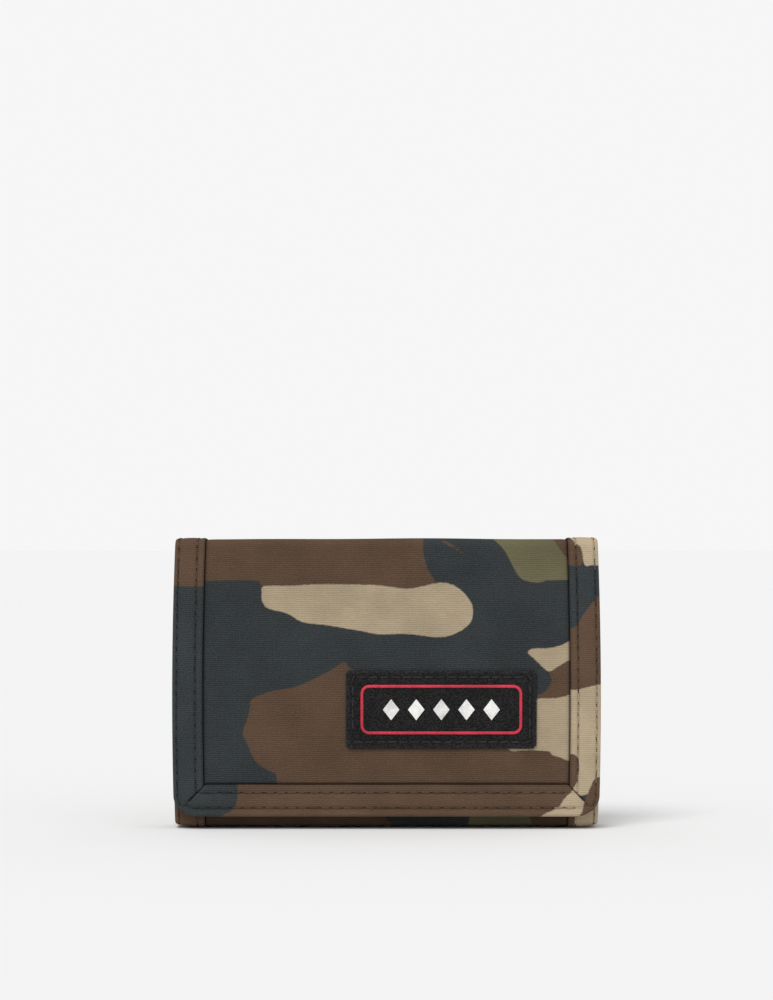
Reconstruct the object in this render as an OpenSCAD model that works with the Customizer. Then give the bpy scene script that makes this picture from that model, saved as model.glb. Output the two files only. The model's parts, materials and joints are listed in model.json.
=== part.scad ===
// Trifold fabric wallet: a back panel that stands on the bottom fold, a front
// flap hung from the top fold, and a lower panel folded up between them.
// X is the width, Y runs from the front (-Y) to the back (+Y), Z is up. The
// origin is the middle of the footprint, on the face that the wallet rests on.

/* [Wallet] */
// Width over the side hems
wallet_w = 130; // [108:1:160]
// Height of the closed wallet
wallet_h = 88.5; // [73.5:0.5:108]
// Height of the lower panel's free edge when it is folded up
lower_h = 60; // [48:0.5:62]
// Height of the front flap's free edge above the resting face
flap_lift = 3.9; // [2.5:0.1:8]
// Radius of the flap's two free corners
flap_corner_r = 5; // [2:0.5:8]
// Radius of the lower panel's two free corners
lower_corner_r = 4; // [2:0.5:8]

/* [Layers] */
// Thickness of the outer fabric with its backing
shell_t = 1; // [0.6:0.1:1.4]
// Thickness of the lining fabric
lining_t = 0.4; // [0.3:0.1:0.8]
// Thickness of the stiffening boards
board_t = 0.8; // [0.5:0.1:1.2]
// Thickness of a single pocket ply
ply_t = 0.3; // [0.2:0.05:0.5]
// Free depth inside every card pocket
card_gap = 0.8; // [0.8:0.1:1.2]
// Air between the back panel's pockets and the folded lower panel
layer_gap = 0.9; // [0.6:0.1:2]
// Air at each fold between a panel and the spine that it turns on
fold_gap = 0.2; // [0.1:0.05:0.4]

/* [Hems] */
// Width of the strips that bind the long sides
hem_w = 9; // [6:0.5:12]
// Width of the strips that bind the free edges
edge_hem_w = 9.5; // [6:0.5:12]
// Thickness of the binding strips
hem_t = 0.5; // [0.3:0.1:0.7]

/* [Pockets] */
// Number of card slots on the back panel
back_slot_count = 3; // [1:1:3]
// Number of card slots on the lower panel
lower_slot_count = 2; // [1:1:2]
// Distance between the top edges of neighbouring slots
slot_step = 9; // [6:0.5:9]
// Drop from a panel's edge to its first slot
slot_drop = 6; // [3:0.5:8]
// Sewn margin around every pocket
pocket_rim = 3; // [2:0.5:4]
// Gap between a pocket and the hem beside it
pocket_side_gap = 0.3; // [0.2:0.1:1]
// Drop from the panel's edge to the note divider
divider_drop = 3; // [1:0.5:5]

/* [Identity window] */
// Thickness of the window pocket
window_t = 1.2; // [1:0.1:1.4]
// Width of the window's sewn border
window_border = 5; // [4:0.5:8]
// Gap between the window pocket and its neighbours
window_gap = 3; // [1:0.5:5]
// Thickness of the clear film
film_t = 0.15; // [0.1:0.05:0.25]
// Margin by which the film is held under its border
film_margin = 2; // [1:0.5:3]

/* [Closure] */
// Width of the hook strip on the flap
hook_w = 76; // [40:1:86]
// Height of the hook strip on the flap
hook_h = 16; // [10:1:20]
// Thickness of the hook strip and of the loop strip
grip_t = 1.1; // [0.8:0.1:1.4]
// Margin by which the loop strip is larger than the hook strip
loop_margin = 1.5; // [0:0.5:3]
// Air between hooks and loops in the folded wallet
grip_gap = 0.4; // [0.2:0.1:0.8]
// Gap between the flap's edge hem and the hook strip
hook_rise = 1; // [0.5:0.5:4]

/* [Coin pocket] */
// Length of the zip opening
zip_l = 96; // [60:1:104]
// Height of the zip opening
slit_h = 8; // [7:0.5:10]
// Drop from the back panel's top edge to the zip
zip_drop = 19; // [14:1:24]
// Width of each half of the zip tape
tape_w = 11; // [8:0.5:13]
// Thickness of the zip tape
tape_t = 0.4; // [0.3:0.1:0.6]
// Gap between the two halves of the zip
zip_gap = 0.8; // [0.7:0.1:1]
// Pitch of the zip teeth
tooth_pitch = 1.6; // [1.2:0.1:2.4]
// Length of one tooth across the zip
tooth_l = 1.9; // [1.6:0.1:2.2]
// Height of one tooth above the tape
tooth_t = 0.9; // [0.7:0.1:0.9]
// Thickness of the collapsed coin pouch
bag_t = 1.6; // [1.4:0.1:3]
// Height of the pouch's floor above the resting face
bag_floor = 8; // [5:1:14]
// Length of the metal stops at the zip's ends
stop_l = 1.2; // [0.8:0.1:2]

/* [Slider] */
// Length of the zip slider
slider_l = 9; // [7:0.5:11]
// Thickness of the slider's plates
slider_t = 0.8; // [0.6:0.1:1]
// Running clearance between the slider and the zip
slider_gap = 0.2; // [0.15:0.05:0.3]
// Radius of the pin that carries the puller
pin_r = 0.4; // [0.3:0.05:0.45]
// Running clearance around the pin
pin_gap = 0.08; // [0.05:0.01:0.1]
// Wall of the puller's barrel around the pin
barrel_wall = 0.45; // [0.35:0.05:0.6]
// Length of the puller from the pin to its tip
puller_l = 19; // [12:1:22]
// Width of the puller's tab
puller_w = 5.6; // [4.5:0.1:7]

/* [Label] */
// Width of the label patch
label_w = 57; // [30:1:66]
// Height of the label patch
label_h = 23; // [14:0.5:26]
// Thickness of the label patch
label_t = 0.9; // [0.6:0.1:1.4]
// Gap between the label and the hem on its right
label_side_gap = 10.9; // [2:0.1:14]
// Gap between the label and the hem below it
label_rise = 11.5; // [4:0.5:18]
// Corner radius of the label
label_r = 1.2; // [0.5:0.1:4]
// Height of the raised trim on the label
trim_t = 0.3; // [0.2:0.05:0.5]
// Margin from the label's edge to its raised border
border_inset = 4; // [2.5:0.5:5]
// Width of the raised border line
border_w = 0.9; // [0.6:0.1:1.5]
// Number of lozenges in the label's row
mark_count = 5; // [3:1:7]
// Width of one lozenge
mark_w = 5; // [3:0.5:6]
// Height of one lozenge
mark_h = 6.4; // [3:0.2:8]
// Distance between lozenge centres
mark_pitch = 7.6; // [6.5:0.1:8]

/* [Hidden] */

$fn = 48;

// Depths are counted from the back shell's outer face towards the front. A
// layer is a pair of depths, and each layer lies on the one before it.
function next(layer_d, t) = [layer_d[1], layer_d[1] + t];

back_shell_d = [0, shell_t];
tape_d = next(back_shell_d, tape_t);
bag_d = next(tape_d, bag_t);
back_board_d = next(bag_d, board_t);
back_lining_d = next(back_board_d, lining_t);
divider_d = next(back_lining_d, card_gap + ply_t);
slot_t = card_gap + ply_t;
back_pockets_end = divider_d[1] + back_slot_count * slot_t;

lower_slots_start = back_pockets_end + layer_gap;
lower_lining_d = next([0, lower_slots_start + lower_slot_count * slot_t], lining_t);
lower_board_d = next(lower_lining_d, board_t);
lower_shell_d = next(lower_board_d, shell_t);
lower_face = lower_shell_d[1];

loop_d = next(lower_shell_d, grip_t);
hook_d = [loop_d[1] + grip_gap, loop_d[1] + grip_gap + grip_t];
flap_lining_d = next(hook_d, lining_t);
flap_board_d = next(flap_lining_d, board_t);
flap_shell_d = next(flap_board_d, shell_t);
flap_face = flap_shell_d[1];
label_d = next(flap_shell_d, label_t);
trim_d = next(label_d, trim_t);

// Heights
spine_t = shell_t + lining_t;
spine_top = wallet_h - hem_t;
panel_top = spine_top - spine_t - hem_t - fold_gap;
floor_top = spine_t + hem_t;
lower_bottom = floor_top + fold_gap;

// Widths
half_w = wallet_w / 2;
pocket_w = wallet_w - 2 * (hem_w + pocket_side_gap);
hem_inner_x = half_w - hem_w;

// Zip and slider
zip_z = panel_top - zip_drop;
tape_over = 6;
tooth_half = tooth_pitch / 4;
zip_end_gap = 0.4;
teeth_x = zip_l / 2 - stop_l - zip_end_gap;
teeth_d = [tape_d[0] - tooth_t, tape_d[0]];
tooth_cord_w = 0.7;
tooth_cord_drop = 0.2;
stop_rise = 0.1;
stop_over = 0.3;
slider_d = [teeth_d[0] - slider_gap - slider_t, teeth_d[0] - slider_gap];
slider_travel_x = teeth_x - slider_l / 2;
slider_inner_z = zip_gap / 2 + tooth_l + slider_gap;
slider_wall = 0.6;
slider_post = zip_gap - 2 * slider_gap;
slider_foot_t = 0.5;
slider_foot_d = [tape_d[1] + slider_gap, tape_d[1] + slider_gap + slider_foot_t];
slider_foot_z = 2.4;
barrel_r = pin_r + pin_gap + barrel_wall;
pin_d = slider_d[0] - barrel_r - slider_gap / 2;
lug_z = puller_w / 2 - 0.6;
lug_t = 0.7;
lug_half = 1.1;
lug_over = 0.3;
puller_t = 0.8;
puller_neck = 2.2;
puller_lap = 0.5;
rear_face = pin_d - barrel_r;
cut_over = 1;

// The depth zero lies here in Y, so that the footprint's middle is the origin.
back_y = (trim_d[1] - rear_face) / 2 + rear_face;

// Label
label_x = hem_inner_x - label_side_gap - label_w / 2;
label_z = flap_lift + edge_hem_w + label_rise + label_h / 2;

// Hook strip and window
hook_z0 = flap_lift + edge_hem_w + hook_rise;
window_z0 = hook_z0 + hook_h + window_gap;
window_z1 = panel_top - window_gap;

// Colours
camo_color = [0.24, 0.27, 0.27];
hem_color = [0.38, 0.31, 0.25];
lining_color = [0.10, 0.10, 0.11];
pocket_color = [0.16, 0.16, 0.17];
board_color = [0.80, 0.79, 0.74];
metal_color = [0.42, 0.42, 0.44];
label_color = [0.13, 0.13, 0.13];

// An upright layer: the outline lies in X and Z, the depths are a pair.
module layer(d) {
    translate([0, back_y - d[0], 0]) rotate([90, 0, 0]) linear_extrude(d[1] - d[0]) children();
}

// A rectangle between two corners.
module band(x0, x1, z0, z1) {
    translate([x0, min(z0, z1)]) square([x1 - x0, abs(z1 - z0)]);
}

// A box between two X values, two depths and two heights.
module block(x0, x1, d, z0, z1) {
    layer(d) band(x0, x1, z0, z1);
}

// The outline of a panel that is folded at z_fold and has round corners at
// its free edge. The inset draws it smaller on its three open sides.
module panel_outline(z_fold, z_free, r, inset = 0) {
    way = sign(z_free - z_fold);
    w = half_w - inset;
    z_end = z_free - way * inset;
    round_r = r - inset;
    band(-w, w, z_fold, z_end - way * round_r);
    band(-w + round_r, w - round_r, z_fold, z_end);
    for (side = [-1, 1]) translate([side * (w - round_r), z_end - way * round_r]) circle(round_r);
}

// The part of a panel's outline that a side hem covers, up to the mitre.
module side_hem_outline(side, z_fold, z_free, r) {
    way = sign(z_free - z_fold);
    intersection() {
        panel_outline(z_fold, z_free, r);
        polygon([
            [side * half_w, z_fold], [side * hem_inner_x, z_fold],
            [side * hem_inner_x, z_free - way * edge_hem_w], [side * half_w, z_free]
        ]);
    }
}

// The part of a panel's outline that the edge hem covers, between the mitres.
module edge_hem_outline(z_fold, z_free, r) {
    way = sign(z_free - z_fold);
    intersection() {
        panel_outline(z_fold, z_free, r);
        polygon([
            [-half_w, z_free], [half_w, z_free],
            [hem_inner_x, z_free - way * edge_hem_w], [-hem_inner_x, z_free - way * edge_hem_w]
        ]);
    }
}

// A binding strip is a channel folded round the panel's edge: the outline that
// it covers, through the full depth, less the room that the panel fills.
module free_binding(d, z_fold, z_free, r) {
    difference() {
        layer(d) children();
        layer([d[0] + hem_t, d[1] - hem_t]) panel_outline(z_fold, z_free, r, hem_t);
    }
}

// The binding of a spine lies flat: a box less the room that the spine fills.
module spine_binding(side, d, room_d, z, room_z) {
    x0 = side > 0 ? hem_inner_x : -half_w;
    room_x0 = side > 0 ? hem_inner_x : -half_w + hem_t;
    difference() {
        block(x0, x0 + hem_w, d, z[0], z[1]);
        block(room_x0, room_x0 + hem_w - hem_t, room_d, room_z[0], room_z[1]);
    }
}

// A pocket sewn on three sides and open at the top. The ply is on the side
// away from `wall`, which is 0 when the wall is at the smaller depth.
module pocket(d, w, z0, z1, wall) {
    room = wall == 0 ? [d[0], d[1] - ply_t] : [d[0] + ply_t, d[1]];
    difference() {
        block(-w / 2, w / 2, d, z0, z1);
        block(-w / 2 + pocket_rim, w / 2 - pocket_rim, room, z0 + pocket_rim, z1);
    }
}

// The zip's opening, as an outline.
module slit_outline() {
    band(-zip_l / 2, zip_l / 2, zip_z - slit_h / 2, zip_z + slit_h / 2);
}

// ---- Outer fabric ----

module flap_shell() {
    color(camo_color) layer(flap_shell_d) panel_outline(panel_top, flap_lift, flap_corner_r, hem_t);
}

module top_spine_shell() {
    color(camo_color)
        block(-half_w + hem_t, half_w - hem_t, [0, flap_face], spine_top - shell_t, spine_top);
}

module back_shell() {
    color(camo_color) layer(back_shell_d) difference() {
        union() {
            band(-half_w + hem_t, half_w - hem_t, floor_top, panel_top);
            band(-hem_inner_x, hem_inner_x, shell_t, floor_top);
        }
        slit_outline();
    }
}

module bottom_spine_shell() {
    color(camo_color) union() {
        block(-half_w + hem_t, half_w - hem_t, [0, lower_face], hem_t, shell_t);
        block(-hem_inner_x, hem_inner_x, [0, lower_face], 0, hem_t);
    }
}

module lower_shell() {
    color(camo_color) layer(lower_shell_d) panel_outline(lower_bottom, lower_h, lower_corner_r, hem_t);
}

// ---- Hems ----

module flap_side_hem(side) {
    color(hem_color) free_binding(
        [flap_lining_d[0] - hem_t, flap_face + hem_t], panel_top, flap_lift, flap_corner_r
    ) side_hem_outline(side, panel_top, flap_lift, flap_corner_r);
}

module flap_hem_edge() {
    color(hem_color) free_binding(
        [flap_lining_d[0] - hem_t, flap_face + hem_t], panel_top, flap_lift, flap_corner_r
    ) edge_hem_outline(panel_top, flap_lift, flap_corner_r);
}

module lower_side_hem(side) {
    color(hem_color) free_binding(
        [lower_lining_d[0] - hem_t, lower_face + hem_t], lower_bottom, lower_h, lower_corner_r
    ) side_hem_outline(side, lower_bottom, lower_h, lower_corner_r);
}

module lower_hem_edge() {
    color(hem_color) free_binding(
        [lower_lining_d[0] - hem_t, lower_face + hem_t], lower_bottom, lower_h, lower_corner_r
    ) edge_hem_outline(lower_bottom, lower_h, lower_corner_r);
}

module top_spine_hem(side) {
    color(hem_color) spine_binding(
        side, [0, flap_face], [0, flap_face],
        [spine_top - spine_t - hem_t, wallet_h], [spine_top - spine_t, spine_top]
    );
}

module bottom_spine_hem(side) {
    color(hem_color) spine_binding(
        side, [-hem_t, lower_face], [0, lower_face], [0, floor_top], [hem_t, spine_t]
    );
}

module back_hem(side) {
    color(hem_color) spine_binding(
        side, [-hem_t, divider_d[1] + hem_t], [0, divider_d[1]],
        [floor_top, panel_top], [floor_top, panel_top]
    );
}

// ---- Linings and boards ----

module flap_lining() {
    color(lining_color) layer(flap_lining_d)
        panel_outline(panel_top, flap_lift, flap_corner_r, hem_t);
}

module top_spine_lining() {
    color(lining_color) block(
        -half_w + hem_t, half_w - hem_t, [0, flap_face], spine_top - spine_t, spine_top - shell_t
    );
}

module back_lining() {
    color(lining_color)
        block(-half_w + hem_t, half_w - hem_t, back_lining_d, floor_top, panel_top);
}

module bottom_spine_lining() {
    color(lining_color)
        block(-half_w + hem_t, half_w - hem_t, [shell_t, lower_face], shell_t, spine_t);
}

module lower_lining() {
    color(lining_color) layer(lower_lining_d)
        panel_outline(lower_bottom, lower_h, lower_corner_r, hem_t);
}

module flap_board() {
    color(board_color) layer(flap_board_d)
        panel_outline(panel_top, flap_lift, flap_corner_r, hem_t);
}

module back_board() {
    color(board_color) block(-half_w + hem_t, half_w - hem_t, back_board_d, floor_top, panel_top);
}

module lower_board() {
    color(board_color) layer(lower_board_d)
        panel_outline(lower_bottom, lower_h, lower_corner_r, hem_t);
}

// ---- Pockets ----

module note_divider() {
    color(pocket_color)
        pocket(divider_d, wallet_w - 2 * hem_t, floor_top, panel_top - divider_drop, 0);
}

// Slot 1 is the tallest and lies on the divider, and each next one is lower.
module back_slot(n) {
    if (n <= back_slot_count) {
        d0 = divider_d[1] + (n - 1) * slot_t;
        color(pocket_color) pocket(
            [d0, d0 + slot_t], pocket_w, floor_top,
            panel_top - divider_drop - slot_drop - (n - 1) * slot_step, 0
        );
    }
}

// Slot 1 lies on the lining, and each next one is lower and nearer the back.
module lower_slot(n) {
    if (n <= lower_slot_count) {
        d1 = lower_lining_d[0] - (n - 1) * slot_t;
        color(pocket_color) pocket(
            [d1 - slot_t, d1], pocket_w, lower_bottom,
            lower_h - edge_hem_w - pocket_side_gap - (n - 1) * slot_step, 1
        );
    }
}

module coin_pouch() {
    room = [bag_d[0] + ply_t, bag_d[1] - ply_t];
    w = zip_l + 2 * tape_over;
    z1 = zip_z + tape_w;
    color(pocket_color) difference() {
        block(-w / 2, w / 2, bag_d, bag_floor, z1);
        block(-w / 2 + pocket_rim, w / 2 - pocket_rim, room, bag_floor + pocket_rim, z1 - pocket_rim);
        layer([bag_d[0], room[0]]) slit_outline();
    }
}

// ---- Identity window and closure ----

module id_window_frame() {
    d = [flap_lining_d[0] - window_t, flap_lining_d[0]];
    w = pocket_w / 2;
    hole = w - window_border;
    hole_z0 = window_z0 + window_border;
    hole_z1 = window_z1 - window_border;
    color(pocket_color) difference() {
        block(-w, w, d, window_z0, window_z1);
        block(-hole, hole, d, hole_z0, hole_z1);
        block(
            -hole - film_margin, hole + film_margin, [d[0] + ply_t, d[1]],
            hole_z0 - film_margin, window_z1
        );
    }
}

module id_window_film() {
    d0 = flap_lining_d[0] - window_t + ply_t;
    hole = pocket_w / 2 - window_border;
    color([0.80, 0.86, 0.90, 0.4]) block(
        -hole - film_margin, hole + film_margin, [d0, d0 + film_t],
        window_z0 + window_border - film_margin, window_z1
    );
}

module hook_strip() {
    color([0.07, 0.07, 0.08])
        block(-hook_w / 2, hook_w / 2, hook_d, hook_z0, hook_z0 + hook_h);
}

module loop_strip() {
    w = hook_w / 2 + loop_margin;
    color([0.12, 0.12, 0.13])
        block(-w, w, loop_d, hook_z0 - loop_margin, hook_z0 + hook_h + loop_margin);
}

// ---- Zip ----

module zip_tape(side) {
    w = zip_l / 2 + tape_over;
    color([0.09, 0.09, 0.10]) layer(tape_d)
        band(-w, w, zip_z + side * zip_gap / 2, zip_z + side * (zip_gap / 2 + tape_w));
}

// One row of teeth on a cord. The two rows' teeth are half a pitch apart.
module zip_teeth(side) {
    root = zip_gap / 2 + tooth_l;
    count = floor((2 * teeth_x - tooth_pitch) / tooth_pitch);
    offset_x = side * tooth_pitch / 4;
    color([0.14, 0.14, 0.15]) union() {
        block(
            -teeth_x, teeth_x, [teeth_d[0] + tooth_cord_drop, teeth_d[1]],
            zip_z + side * (root - tooth_cord_w), zip_z + side * root
        );
        for (i = [0 : count - 1]) {
            x = (i - (count - 1) / 2) * tooth_pitch + offset_x;
            block(
                x - tooth_half, x + tooth_half, teeth_d,
                zip_z + side * zip_gap / 2, zip_z + side * (root - tooth_cord_w / 2)
            );
        }
    }
}

module zip_stop(side) {
    x0 = side > 0 ? zip_l / 2 - stop_l : -zip_l / 2;
    reach = zip_gap / 2 + tooth_l + stop_over;
    color(metal_color) block(
        x0, x0 + stop_l, [teeth_d[0] - stop_rise, teeth_d[1]], zip_z - reach, zip_z + reach
    );
}

// A cylinder along Z, with its axis at the puller's pin.
module pin_cylinder(r, z_reach) {
    translate([slider_travel_x, back_y - pin_d, zip_z - z_reach]) cylinder(r = r, h = 2 * z_reach);
}

module zip_slider() {
    x = slider_travel_x;
    half = slider_l / 2;
    outer_z = slider_inner_z + slider_wall;
    color(metal_color) union() {
        block(x - half, x + half, slider_d, zip_z - outer_z, zip_z + outer_z);
        for (side = [-1, 1]) {
            block(
                x - half, x + half, [slider_d[1], tape_d[0] - slider_gap],
                zip_z + side * slider_inner_z, zip_z + side * outer_z
            );
            block(
                x - lug_half, x + lug_half, [pin_d - pin_r - lug_over, slider_d[0]],
                zip_z + side * lug_z, zip_z + side * (lug_z + lug_t)
            );
        }
        block(
            x - half / 2, x + half / 2, [slider_d[1], slider_foot_d[0]],
            zip_z - slider_post / 2, zip_z + slider_post / 2
        );
        block(x - half, x + half, slider_foot_d, zip_z - slider_foot_z, zip_z + slider_foot_z);
        pin_cylinder(pin_r, lug_z + lug_t);
    }
}

module zip_puller() {
    neck_z = lug_z - slider_gap;
    d = [pin_d - puller_t / 2, pin_d + puller_t / 2];
    tip_r = puller_w / 2;
    color(metal_color) difference() {
        union() {
            pin_cylinder(barrel_r, neck_z);
            block(
                slider_travel_x - puller_neck - puller_lap, slider_travel_x, d,
                zip_z - neck_z, zip_z + neck_z
            );
            layer(d) {
                band(
                    slider_travel_x - puller_l + tip_r, slider_travel_x - puller_neck,
                    zip_z - tip_r, zip_z + tip_r
                );
                translate([slider_travel_x - puller_l + tip_r, zip_z]) circle(tip_r);
            }
        }
        pin_cylinder(pin_r + pin_gap, neck_z + cut_over);
        layer([d[0] - cut_over, d[1] + cut_over])
            translate([slider_travel_x - puller_l + tip_r, zip_z]) circle(tip_r / 2);
    }
}

// ---- Label ----

// A rectangle with round corners about the label's middle.
module label_outline(w, h, r) {
    translate([label_x, label_z]) {
        square([w - 2 * r, h], center = true);
        square([w, h - 2 * r], center = true);
        for (x = [-1, 1], z = [-1, 1]) translate([x * (w / 2 - r), z * (h / 2 - r)]) circle(r);
    }
}

module label_patch() {
    color(label_color) layer(label_d) label_outline(label_w, label_h, label_r);
}

module label_border() {
    w = label_w - 2 * border_inset;
    h = label_h - 2 * border_inset;
    r = label_r + border_w;
    color([0.72, 0.10, 0.18]) layer(trim_d) difference() {
        label_outline(w, h, r);
        label_outline(w - 2 * border_w, h - 2 * border_w, r - border_w);
    }
}

module label_marks() {
    color([0.88, 0.88, 0.86]) layer(trim_d)
        for (i = [0 : mark_count - 1])
            translate([label_x + (i - (mark_count - 1) / 2) * mark_pitch, label_z])
                polygon([[-mark_w / 2, 0], [0, -mark_h / 2], [mark_w / 2, 0], [0, mark_h / 2]]);
}

flap_shell();
top_spine_shell();
back_shell();
bottom_spine_shell();
lower_shell();
flap_side_hem(-1);  // flap_hem_left
flap_side_hem(1);  // flap_hem_right
flap_hem_edge();
top_spine_hem(-1);  // top_spine_hem_left
top_spine_hem(1);  // top_spine_hem_right
back_hem(-1);  // back_hem_left
back_hem(1);  // back_hem_right
bottom_spine_hem(-1);  // bottom_spine_hem_left
bottom_spine_hem(1);  // bottom_spine_hem_right
lower_side_hem(-1);  // lower_hem_left
lower_side_hem(1);  // lower_hem_right
lower_hem_edge();
flap_lining();
top_spine_lining();
back_lining();
bottom_spine_lining();
lower_lining();
flap_board();
back_board();
lower_board();
note_divider();
back_slot(1);  // back_slot_1
back_slot(2);  // back_slot_2
back_slot(3);  // back_slot_3
lower_slot(1);  // lower_slot_1
lower_slot(2);  // lower_slot_2
id_window_frame();
id_window_film();
hook_strip();
loop_strip();
zip_tape(1);  // zip_tape_upper
zip_tape(-1);  // zip_tape_lower
zip_teeth(1);  // zip_teeth_upper
zip_teeth(-1);  // zip_teeth_lower
zip_stop(-1);  // zip_stop_left
zip_stop(1);  // zip_stop_right
zip_slider();
zip_puller();
coin_pouch();
label_patch();
label_border();
label_marks();
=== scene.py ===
"""Looks of a trifold fabric wallet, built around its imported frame.

The shell is one strip of camouflage canvas that runs from the flap's free edge over the
top fold, down the back, round the bottom fold and up the lower panel. It is made here as
three pieces, cut where they lie flat, so that each crosses one fold only. All shapes are
worked out in millimetres as (across, depth, height), with the depth counted from the
back panel's outer face towards the front, and turned into the frame's metres at the end.
"""

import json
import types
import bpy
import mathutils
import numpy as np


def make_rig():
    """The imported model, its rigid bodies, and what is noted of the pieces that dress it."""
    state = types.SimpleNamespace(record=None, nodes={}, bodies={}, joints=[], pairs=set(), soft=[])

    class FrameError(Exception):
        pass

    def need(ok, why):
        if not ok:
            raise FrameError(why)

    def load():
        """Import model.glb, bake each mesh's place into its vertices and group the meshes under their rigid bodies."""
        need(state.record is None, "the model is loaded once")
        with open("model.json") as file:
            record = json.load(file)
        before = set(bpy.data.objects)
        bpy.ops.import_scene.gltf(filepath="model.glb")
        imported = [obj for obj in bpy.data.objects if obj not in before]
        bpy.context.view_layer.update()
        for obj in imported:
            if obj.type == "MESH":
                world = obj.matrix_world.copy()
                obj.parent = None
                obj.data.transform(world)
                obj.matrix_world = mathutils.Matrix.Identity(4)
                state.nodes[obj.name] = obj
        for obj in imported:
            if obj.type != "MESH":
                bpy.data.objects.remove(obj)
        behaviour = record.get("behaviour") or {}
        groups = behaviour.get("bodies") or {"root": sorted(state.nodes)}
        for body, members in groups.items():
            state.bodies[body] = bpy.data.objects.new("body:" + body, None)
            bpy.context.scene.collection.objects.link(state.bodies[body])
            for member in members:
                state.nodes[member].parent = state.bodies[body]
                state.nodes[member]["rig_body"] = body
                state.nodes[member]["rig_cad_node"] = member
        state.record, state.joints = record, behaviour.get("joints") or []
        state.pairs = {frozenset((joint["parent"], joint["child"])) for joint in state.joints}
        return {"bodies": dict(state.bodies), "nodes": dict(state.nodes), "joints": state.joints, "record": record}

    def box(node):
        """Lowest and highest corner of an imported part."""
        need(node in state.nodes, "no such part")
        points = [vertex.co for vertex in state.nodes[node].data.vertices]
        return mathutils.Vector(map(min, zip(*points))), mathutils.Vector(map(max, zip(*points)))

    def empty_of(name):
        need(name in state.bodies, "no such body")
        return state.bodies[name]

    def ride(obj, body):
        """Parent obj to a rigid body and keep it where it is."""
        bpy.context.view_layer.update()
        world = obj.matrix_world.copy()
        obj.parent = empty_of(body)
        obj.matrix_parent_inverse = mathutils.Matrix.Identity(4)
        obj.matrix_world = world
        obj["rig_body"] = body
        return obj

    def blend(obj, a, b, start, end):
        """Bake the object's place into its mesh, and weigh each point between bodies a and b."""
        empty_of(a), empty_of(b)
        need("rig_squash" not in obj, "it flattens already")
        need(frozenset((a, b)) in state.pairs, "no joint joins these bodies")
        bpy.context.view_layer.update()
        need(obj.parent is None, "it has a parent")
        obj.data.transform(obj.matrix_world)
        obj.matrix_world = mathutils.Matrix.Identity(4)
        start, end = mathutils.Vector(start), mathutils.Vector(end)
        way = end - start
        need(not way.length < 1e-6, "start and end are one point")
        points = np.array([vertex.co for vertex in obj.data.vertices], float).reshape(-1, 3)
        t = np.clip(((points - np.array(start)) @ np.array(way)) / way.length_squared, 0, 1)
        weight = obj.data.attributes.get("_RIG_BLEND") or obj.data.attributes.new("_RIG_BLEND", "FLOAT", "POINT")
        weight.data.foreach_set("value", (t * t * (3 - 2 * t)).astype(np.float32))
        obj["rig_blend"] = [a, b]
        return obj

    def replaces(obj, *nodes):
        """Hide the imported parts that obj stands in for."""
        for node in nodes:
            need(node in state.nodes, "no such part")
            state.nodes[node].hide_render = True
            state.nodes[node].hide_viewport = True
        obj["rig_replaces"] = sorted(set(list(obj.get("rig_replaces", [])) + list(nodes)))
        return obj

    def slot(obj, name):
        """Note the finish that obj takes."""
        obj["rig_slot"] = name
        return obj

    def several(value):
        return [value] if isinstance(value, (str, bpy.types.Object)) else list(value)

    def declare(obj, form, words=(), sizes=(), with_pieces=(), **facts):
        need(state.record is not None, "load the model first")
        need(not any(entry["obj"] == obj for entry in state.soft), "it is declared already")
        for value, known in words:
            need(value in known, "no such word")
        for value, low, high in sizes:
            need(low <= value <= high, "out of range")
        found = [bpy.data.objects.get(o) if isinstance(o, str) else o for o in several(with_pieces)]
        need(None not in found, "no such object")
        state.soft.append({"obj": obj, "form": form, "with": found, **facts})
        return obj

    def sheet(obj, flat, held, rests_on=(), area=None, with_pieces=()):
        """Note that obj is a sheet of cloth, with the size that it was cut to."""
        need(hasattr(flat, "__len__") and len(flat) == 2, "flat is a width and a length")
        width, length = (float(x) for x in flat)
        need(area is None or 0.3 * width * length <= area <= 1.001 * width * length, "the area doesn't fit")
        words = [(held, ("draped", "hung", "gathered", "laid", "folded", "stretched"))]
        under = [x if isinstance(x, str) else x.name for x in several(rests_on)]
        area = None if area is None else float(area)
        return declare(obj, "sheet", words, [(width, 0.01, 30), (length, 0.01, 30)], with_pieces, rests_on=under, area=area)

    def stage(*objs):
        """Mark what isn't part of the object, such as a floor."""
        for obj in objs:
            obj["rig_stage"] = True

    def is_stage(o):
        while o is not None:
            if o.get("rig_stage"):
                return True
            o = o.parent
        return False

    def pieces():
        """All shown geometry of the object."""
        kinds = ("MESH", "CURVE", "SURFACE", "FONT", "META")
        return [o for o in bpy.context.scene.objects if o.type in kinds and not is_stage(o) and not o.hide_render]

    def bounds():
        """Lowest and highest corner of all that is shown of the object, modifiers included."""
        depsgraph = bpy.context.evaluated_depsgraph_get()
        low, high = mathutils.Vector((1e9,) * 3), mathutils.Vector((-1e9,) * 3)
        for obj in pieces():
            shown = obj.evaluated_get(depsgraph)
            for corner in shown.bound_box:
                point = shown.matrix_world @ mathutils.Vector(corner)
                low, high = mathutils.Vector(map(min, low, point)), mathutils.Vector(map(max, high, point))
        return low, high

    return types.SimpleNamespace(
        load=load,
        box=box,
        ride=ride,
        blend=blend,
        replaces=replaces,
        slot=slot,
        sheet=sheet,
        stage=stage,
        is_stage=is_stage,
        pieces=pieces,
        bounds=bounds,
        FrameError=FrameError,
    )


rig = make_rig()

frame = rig.load()

import json
import logging
import math
from dataclasses import dataclass, field
from enum import Enum
from typing import Optional, Sequence

import bmesh
import bpy
import numpy as np

Array = np.ndarray
Socket = bpy.types.NodeSocket
log = logging.getLogger("wallet")

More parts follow.
